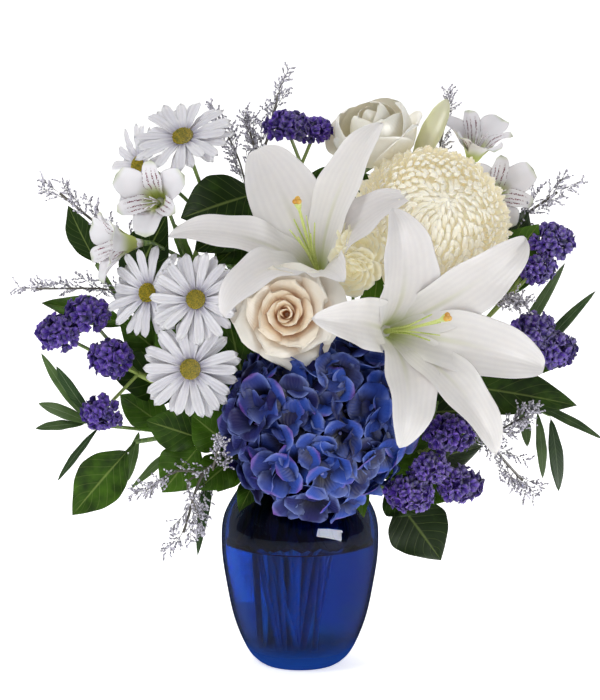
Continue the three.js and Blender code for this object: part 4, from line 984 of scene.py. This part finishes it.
# Two small ruffled blooms on one stem
skins = []
for bloom in SPRAY_ROSES:
    f = facing(**bloom)
    k = np.arange(SPRAY_ROSE_PETALS)
    lean = np.stack([74 - 2.7 * k, 36 - 1.3 * k, 88 - 2.8 * k], 1)
    skins.append(petals(f, 137.5 * k, 25 - 0.2 * k, 17, lean, start=2.5, rise=-16, shape=FAN, rows=14, nu=11,
                        cup=0.35, thick=0.5, roll=10, ruffle=2.2, waves=1.8, curl=26))
    skins.append(turned([(0, -18), (4, -18), (7, -12), (5, -4), (0, -2)], f, 20))
piece("spray_rose_blooms", skins, "spray_rose", "spray_rose_petals", slot="rose_petal")
spray("spray_rose", SPRAY_ROSES, 18, 1.6, 1.2, 3.5)


# ---- chrysanthemum
def chrysanthemum():
    """Ribbon petals on a ball, by the golden angle. Each rises from it and then lies over towards the top,
    the lowest ones more loosely."""
    m, n = MUM, MUM["scales"]
    f = facing(**m)
    cos, sin, turn = golden_ball(n, 1.85)
    polar = np.degrees(np.arccos(cos))
    root = m["core"] + 1
    wild = jitter(3, n)
    loose = np.clip((polar - 55) / 60, 0, 1)
    middle = polar - 58 + 34 * loose + 12 * wild[0]
    tip = polar - 112 + 66 * loose + 20 * wild[1]
    scales = petals(f, np.degrees(turn), 16 + 3 * loose + 1.5 * wild[2], 4.5,
                    np.stack([polar + 10, middle, tip], 1), start=root * sin, rise=root * cos,
                    shape=RIBBON, rows=10, nu=5, cup=0.5, thick=0.6, roll=22 * wild[0], sway=3 * wild[1])
    ball = np.linspace(-np.pi / 2, np.pi / 2, 20)
    core = turned(np.stack([(root + 1) * np.cos(ball), (root + 1) * np.sin(ball)], 1), f, 32)
    return [scales, core]


piece("mum_bloom", chrysanthemum(), "mum", "mum_petals", slot="mum_petal")
place, way = ROUTES["mum"]
stalk("mum", [stem(place, way[:1], behind(MUM, MUM["core"]), 2.6, 6)])


# ---- daisies
def daisy(name, flower):
    """Two layers of notched rays round a domed disc of tiny florets."""
    f, s = facing(**flower), flower["size"]
    n = DAISY_RAYS
    k = np.arange(n)
    lower = k % 2
    lean = np.stack([74 + 8 * lower, 82 + 8 * lower + 8 * jitter(n), 90 + 10 * lower + 20 * jitter(n)], 1)
    turn = 360 / n * k + 4 * jitter(n)
    rays = petals(f, turn, (30 + 2.4 * jitter(n)) * s, 7.8 * s, lean,
                  start=5 * s, rise=-0.6 - 1.6 * lower, shape=SPOON, rows=12, nu=7, cup=0.16, thick=0.5,
                  groove=0.5, ruffle=0.4, notch=0.5, sway=2.6 * jitter(n),
                  roll=9 * jitter(n))
    cup = turned([(0, -3.4 * s), (7 * s, -3.4 * s), (8.4 * s, -0.6), (0, -0.2)], f, 24)
    piece(f"daisy_{name}_bloom", [rays, cup], "daisy", f"daisy_{name}_rays", slot="daisy_ray")
    j = np.arange(DAISY_FLORETS)
    r = 7.2 * s * np.sqrt((j + 0.5) / DAISY_FLORETS)
    a = j * GOLDEN
    dome = 4.2 * np.sqrt(1 - (r / (7.9 * s)) ** 2)
    knobs = f[0] + np.stack([r * np.cos(a), r * np.sin(a), dome + 0.2], 1) @ np.stack(f[1:])
    arc = np.linspace(0, np.pi / 2, 8)
    cushion = [(0, 0.2), *[(7.4 * s * np.cos(t), 0.2 + 4.2 * np.sin(t)) for t in arc[:-1]], (0, 4.4)]
    florets = beads(knobs, np.tile(f[3], (DAISY_FLORETS, 1)), (0.62 * s, 0.8), 4, 5)
    piece(f"daisy_{name}_eye", [florets, turned(cushion, f, 24)], "disc", f"daisy_{name}_disc",
          slot="daisy_disc")


for name, flower in DAISIES.items():
    daisy(name, flower)
for part, keys in (("upper", ("top", "behind")), ("lower", ("middle", "side", "low")), ("back", ("back",))):
    spray(f"daisy_{part}", [DAISIES[key] for key in keys], 3.4, 2, 1.4, 5.5)


# ---- alstroemeria
def alstroemeria(name, flower):
    """Three broad petals and three narrow streaked ones, with stamens."""
    f, s = facing(**flower), flower["size"]
    k = np.arange(6)
    broad = k % 2 == 0
    lean = np.where(broad[:, None], (20, 40, 80), (14, 34, 64))
    blades = petals(f, 30 + 60 * k, np.where(broad, 42, 40) * s, np.where(broad, 22, 14) * s, lean,
                    start=2.2 * s, rise=-18 * s, shape=FAN, rows=20, nu=9, cup=0.3, thick=0.6, groove=0.8,
                    ruffle=1.7, waves=2.1, chance=np.where(broad, 0.3, 0.75), curl=18)
    hub = turned([(0, -20), (2.6, -20), (4, -15), (0, -11)], f, 16)
    rods = []
    for a in np.radians(60 * k + 12.0):
        way = [spot(f, r * np.cos(a), r * np.sin(a) - 1.2 * r, z) for r, z in ((1, -16), (2, -2), (4.5, 12))]
        rods.append(tube(route(way, 8), 0.45, 6))
    piece(f"alstroemeria_{name}_bloom", [blades, hub, *rods], "alstroemeria", f"alstroemeria_{name}_petals",
          slot="alstroemeria_petal")


for name, flower in ALSTROEMERIAS.items():
    alstroemeria(name, flower)
for part, keys in (("left", ("left", "side")), ("right", ("top", "right"))):
    spray(f"alstroemeria_{part}", [ALSTROEMERIAS[key] for key in keys], 20, 2, 1.4, 2.8)


# ---- statice
def statice(name, sprig):
    """Each head is a crest of small flared papery cups on a low oval mound."""
    hub = np.array(sprig["hub"], float)
    rods = [stem(sprig["place"], sprig["via"], hub, 1.9)]
    cups = []
    for at, azimuth, elevation, size in sprig["heads"]:
        f = facing(at, azimuth, elevation)
        rods.append(branch(hub, [], spot(f, 0, 0, -2), 1.3))
        n = CUPS
        cos, sin, a = golden_ball(n, 1.35)
        local = np.stack([sin * np.cos(a) * 12, sin * np.sin(a) * 7.5, cos * 7], 1) * size
        local += 1.6 * jitter(n, 3)
        mouth = local * [1.12, 1.2, 1.3] + 1.8 * jitter(n, 3)
        axis = unit(mouth - local * 0.3 + [0, 0, 2]) @ np.stack(f[1:])
        base = f[0] + (local * 0.82) @ np.stack(f[1:])
        side = unit(np.cross(axis, jitter(n, 3)))
        five = np.repeat(np.arange(n), 5)
        own = (base[five], side[five], np.cross(axis, side)[five], axis[five])
        cups.append(petals(own, np.tile(72 * np.arange(5), n), 7.6 * size * rng.uniform(0.8, 1.15, 5 * n),
                           4.8 * size, (16, 32, 80), start=0.4, shape=FAN, rows=6, nu=3, thick=0.4, curl=20,
                           roll=16 * jitter(5 * n), chance=rng.random(n)[five]))
        mound = np.linspace(-np.pi / 2, np.pi / 2, 9)
        cups.append(turned(np.stack([8 * size * np.cos(mound), 5 * size * np.sin(mound)], 1), f, 16))
    piece(f"statice_{name}_stalk", rods, "statice_green", slot="statice")
    piece(f"statice_{name}_heads", cups, "statice", f"statice_{name}", slot="statice")


for name, sprig in STATICES.items():
    statice(name, sprig)


# ---- caspia
def caspia(name, sprig):
    """Wiry sprigs off a thin stem and its side shoots, each with short twigs that carry rows of tiny buds."""
    neck, _ = bunch_place(*sprig["place"])
    sprigs = sprig.get("count", 18)
    line = route([neck, *sprig["via"], sprig["end"]], 60)
    shoots = [route([on_route(line, share)[0], *way], 40) for share, *way in sprig.get("shoots", ())]
    share = np.linspace(0.5, 1, sprigs)
    few = np.linspace(0.4, 1, sprigs // 2)
    sets = [on_route(line, share), *(on_route(shoot, few) for shoot in shoots)]
    root, t = (np.concatenate(part) for part in zip(*sets))
    taper = np.concatenate([np.linspace(1, 0.55, sprigs), *[np.linspace(0.7, 0.4, len(few))] * len(shoots)])
    sprigs = len(root)
    out = unit(np.cross(jitter(sprigs, 3), t))
    d = unit(t + out * (1.1 * taper[:, None] - 0.25) + [0, 0, 0.15])
    length = sprig.get("reach", 36) * taper * rng.uniform(0.75, 1, sprigs)

    def wires(base, way, reach, width):
        face = np.cross(way, [0.3, 0.5, 0.8])
        return leaves(base, base + way * reach[:, None], face, np.full(len(base), width), arch=0.07,
                      shape=lambda s: 1 - 0.5 * s, stalk=0, rows=5, nu=3, thick=0.5)

    s = np.tile(np.linspace(0.3, 1, TWIGS), sprigs)
    own = np.repeat(np.arange(sprigs), TWIGS)
    twig_root = root[own] + d[own] * (length[own] * s)[:, None]
    twig_way = unit(d[own] * 0.7 + unit(np.cross(jitter(len(own), 3), d[own])) * 0.75)
    twig_reach = rng.uniform(5, 11, len(own)) * (1.2 - 0.5 * s)
    again = np.repeat(np.arange(len(own)), BUDS)
    b = np.tile(np.linspace(0.25, 1.05, BUDS), len(own))
    centre = twig_root[again] + twig_way[again] * (twig_reach[again] * b)[:, None]
    centre = centre + 0.7 * jitter(len(again), 3)
    axis = unit(twig_way[again] + 0.6 * jitter(len(again), 3))
    piece(f"caspia_{name}_wires", [stem(sprig["place"], sprig["via"], sprig["end"], 1.0),
                                   *[tube(shoot, 0.7, 8) for shoot in shoots],
                                   wires(root, d, length, 0.6),
                                   wires(twig_root, twig_way, twig_reach, 0.4)], "caspia_stem", slot="caspia")
    piece(f"caspia_{name}_buds", [beads(centre, axis, (0.7, 1.05), 4, 5)], "caspia_bud", f"caspia_{name}",
          slot="caspia")


for name, sprig in CASPIAS.items():
    caspia(name, sprig)


# ---- leafy stems
def leafy_stem(name, sprig, finish, radius, slot, **form):
    """A stem and its leaves, which start on its line."""
    neck, _ = bunch_place(*sprig["place"])
    line = route([neck, *sprig["via"], sprig["end"]])
    share, tip, azimuth, elevation, width = (np.array(part, float) for part in zip(*sprig["leaves"]))
    face = np.array([facing((0, 0, 0), *turn)[3] for turn in zip(azimuth, elevation)])
    base, _ = on_route(line, share)
    piece(f"{name}_leaves", [leaves(base, tip, face, width, **form)], finish, name, slot=slot)
    piece(f"{name}_twig", [stem(sprig["place"], sprig["via"], sprig["end"], radius)], "stem", slot=slot)


for name, sprig in SALALS.items():
    leafy_stem(f"salal_{name}", sprig, "salal", 1.8, "salal_leaf", shape=OVAL, arch=0.1, rows=30, nu=13,
               thick=0.8, cup=0.1, groove=0.9, ruffle=1.4, waves=2.2, serrate=0.012)
for name, sprig in WILLOWS.items():
    leafy_stem(f"willow_{name}", sprig, "willow", 1.4, "willow_leaf", shape=LANCE, arch=0.14, stalk=0.08,
               rows=18, nu=7, thick=0.7, groove=0.4, ruffle=0.5)


def stem_leaves(name, count, length, width, high=0.94):
    """Narrow leaves that go round a stem by the golden angle, each leaning out along length *
    (0.75 along the stem + 0.65 outward)."""
    place, points = ROUTES[name]
    line = route([bunch_place(*place)[0], *points])
    base, along = on_route(line, np.linspace(0.3, high, count))
    ref = unit(np.cross(along, [1.0, 0.1, 0.0]))
    a = (GOLDEN * np.arange(count))[:, None]
    out = ref * np.cos(a) + np.cross(along, ref) * np.sin(a)
    size = length * rng.uniform(0.75, 1.1, (count, 1))
    blades = leaves(base, base + size * (0.75 * along + 0.65 * out), 0.65 * along - 0.75 * out,
                    np.full(count, width), shape=LANCE, stalk=0.05, rows=16, nu=7, thick=0.7, groove=0.5,
                    ruffle=0.8)
    piece(f"{name}_leaves", [blades], "sepal", slot="green_stem")


stem_leaves("lily_left", 12, 46, 11)
stem_leaves("lily_right", 8, 44, 11)
stem_leaves("alstroemeria_left", 14, 40, 10)
stem_leaves("alstroemeria_right", 14, 40, 10)
stem_leaves("daisy_upper", 9, 30, 9)
stem_leaves("daisy_lower", 8, 30, 9)
stem_leaves("rose_front", 7, 36, 16, 0.8)
stem_leaves("mum", 9, 40, 18)

# Near-black leaves, a painted shade, that line the vase's neck, from 28 mm off its middle out to its wall,
# just above the water
around = np.radians(360 / NECK_LEAVES * np.arange(NECK_LEAVES) + 6 * jitter(NECK_LEAVES))
outward = np.stack([np.cos(around), np.sin(around), 0 * around], 1)
low = rng.uniform(0, 2, (NECK_LEAVES, 1))
top, tip = 28 * outward + [0, 0, 146], 53.4 * outward + [0, 0, 1] * (94 + low)
piece("neck_leaves", [leaves(top, tip, outward + [0, 0, 0.3], rng.uniform(22, 30, NECK_LEAVES), arch=0.17,
                             shape=RIBBON, rows=18, nu=9, thick=0.7, groove=0.4, ruffle=0.5)], "neck",
      slot="salal_leaf")


# ---- floor, backdrop and light
def stage():
    """A pale floor that sweeps up behind into a backdrop: a quarter circle, 1.2 m in radius, between two
    flats, all of it 20 m wide."""
    a = np.linspace(0, np.pi / 2, 16)
    profile = [(-12.0, 0.0), *[(2.2 + 1.2 * np.sin(t), 1.2 * (1 - np.cos(t))) for t in a], (3.4, 5.0)]
    points = [(side, y, z) for y, z in profile for side in (-10, 10)]
    faces = [(2 * i, 2 * i + 1, 2 * i + 3, 2 * i + 2) for i in range(len(profile) - 1)]
    mesh = bpy.data.meshes.new("studio_sweep")
    mesh.from_pydata(points, [], faces)
    mesh.shade_smooth()
    f = Finish("studio_white", Roughness=0.9, Emission_Strength=0.66)
    tone = f.blend(f.noise(2, 1), colour("#fafafa"), colour("#ffffff"))
    mesh.materials.append(f.use(Base_Color=tone, Emission_Color=tone))
    sweep = bpy.data.objects.new("studio_sweep", mesh)
    bpy.context.scene.collection.objects.link(sweep)


def softbox(name, at, aim, size, power, roll=0.0):
    """A lamp with an even rectangular face."""
    light = bpy.data.lights.new(name, "AREA")
    light.shape, light.size, light.size_y, light.energy = "RECTANGLE", size[0], size[1], power
    lamp = bpy.data.objects.new(name, light)
    lamp.location = at
    turn = Quaternion((0, 0, 1), np.radians(roll))
    lamp.rotation_euler = ((Vector(at) - Vector(aim)).to_track_quat("Z", "Y") @ turn).to_euler()
    bpy.context.scene.collection.objects.link(lamp)
    return lamp


stage()
softbox("key", (-1.0, -1.2, 1.95), (0, 0, 0.25), (0.5, 0.5), 15)
softbox("window", (1.12, -1.08, 0.4), (0.026, -0.05, 0.1), (1.2, 0.5), 84, -20).visible_diffuse = False
softbox("top", (-0.1, 0.5, 1.9), (0, 0, 0.2), (1.2, 1.2), 8)
world = bpy.data.worlds.new("studio")
bpy.context.scene.world = world
world.use_nodes = True
world.node_tree.nodes["Background"].inputs["Color"].default_value = (1, 1, 1, 1)
world.node_tree.nodes["Background"].inputs["Strength"].default_value = 0.28
bpy.context.scene.view_settings.view_transform = "Standard"
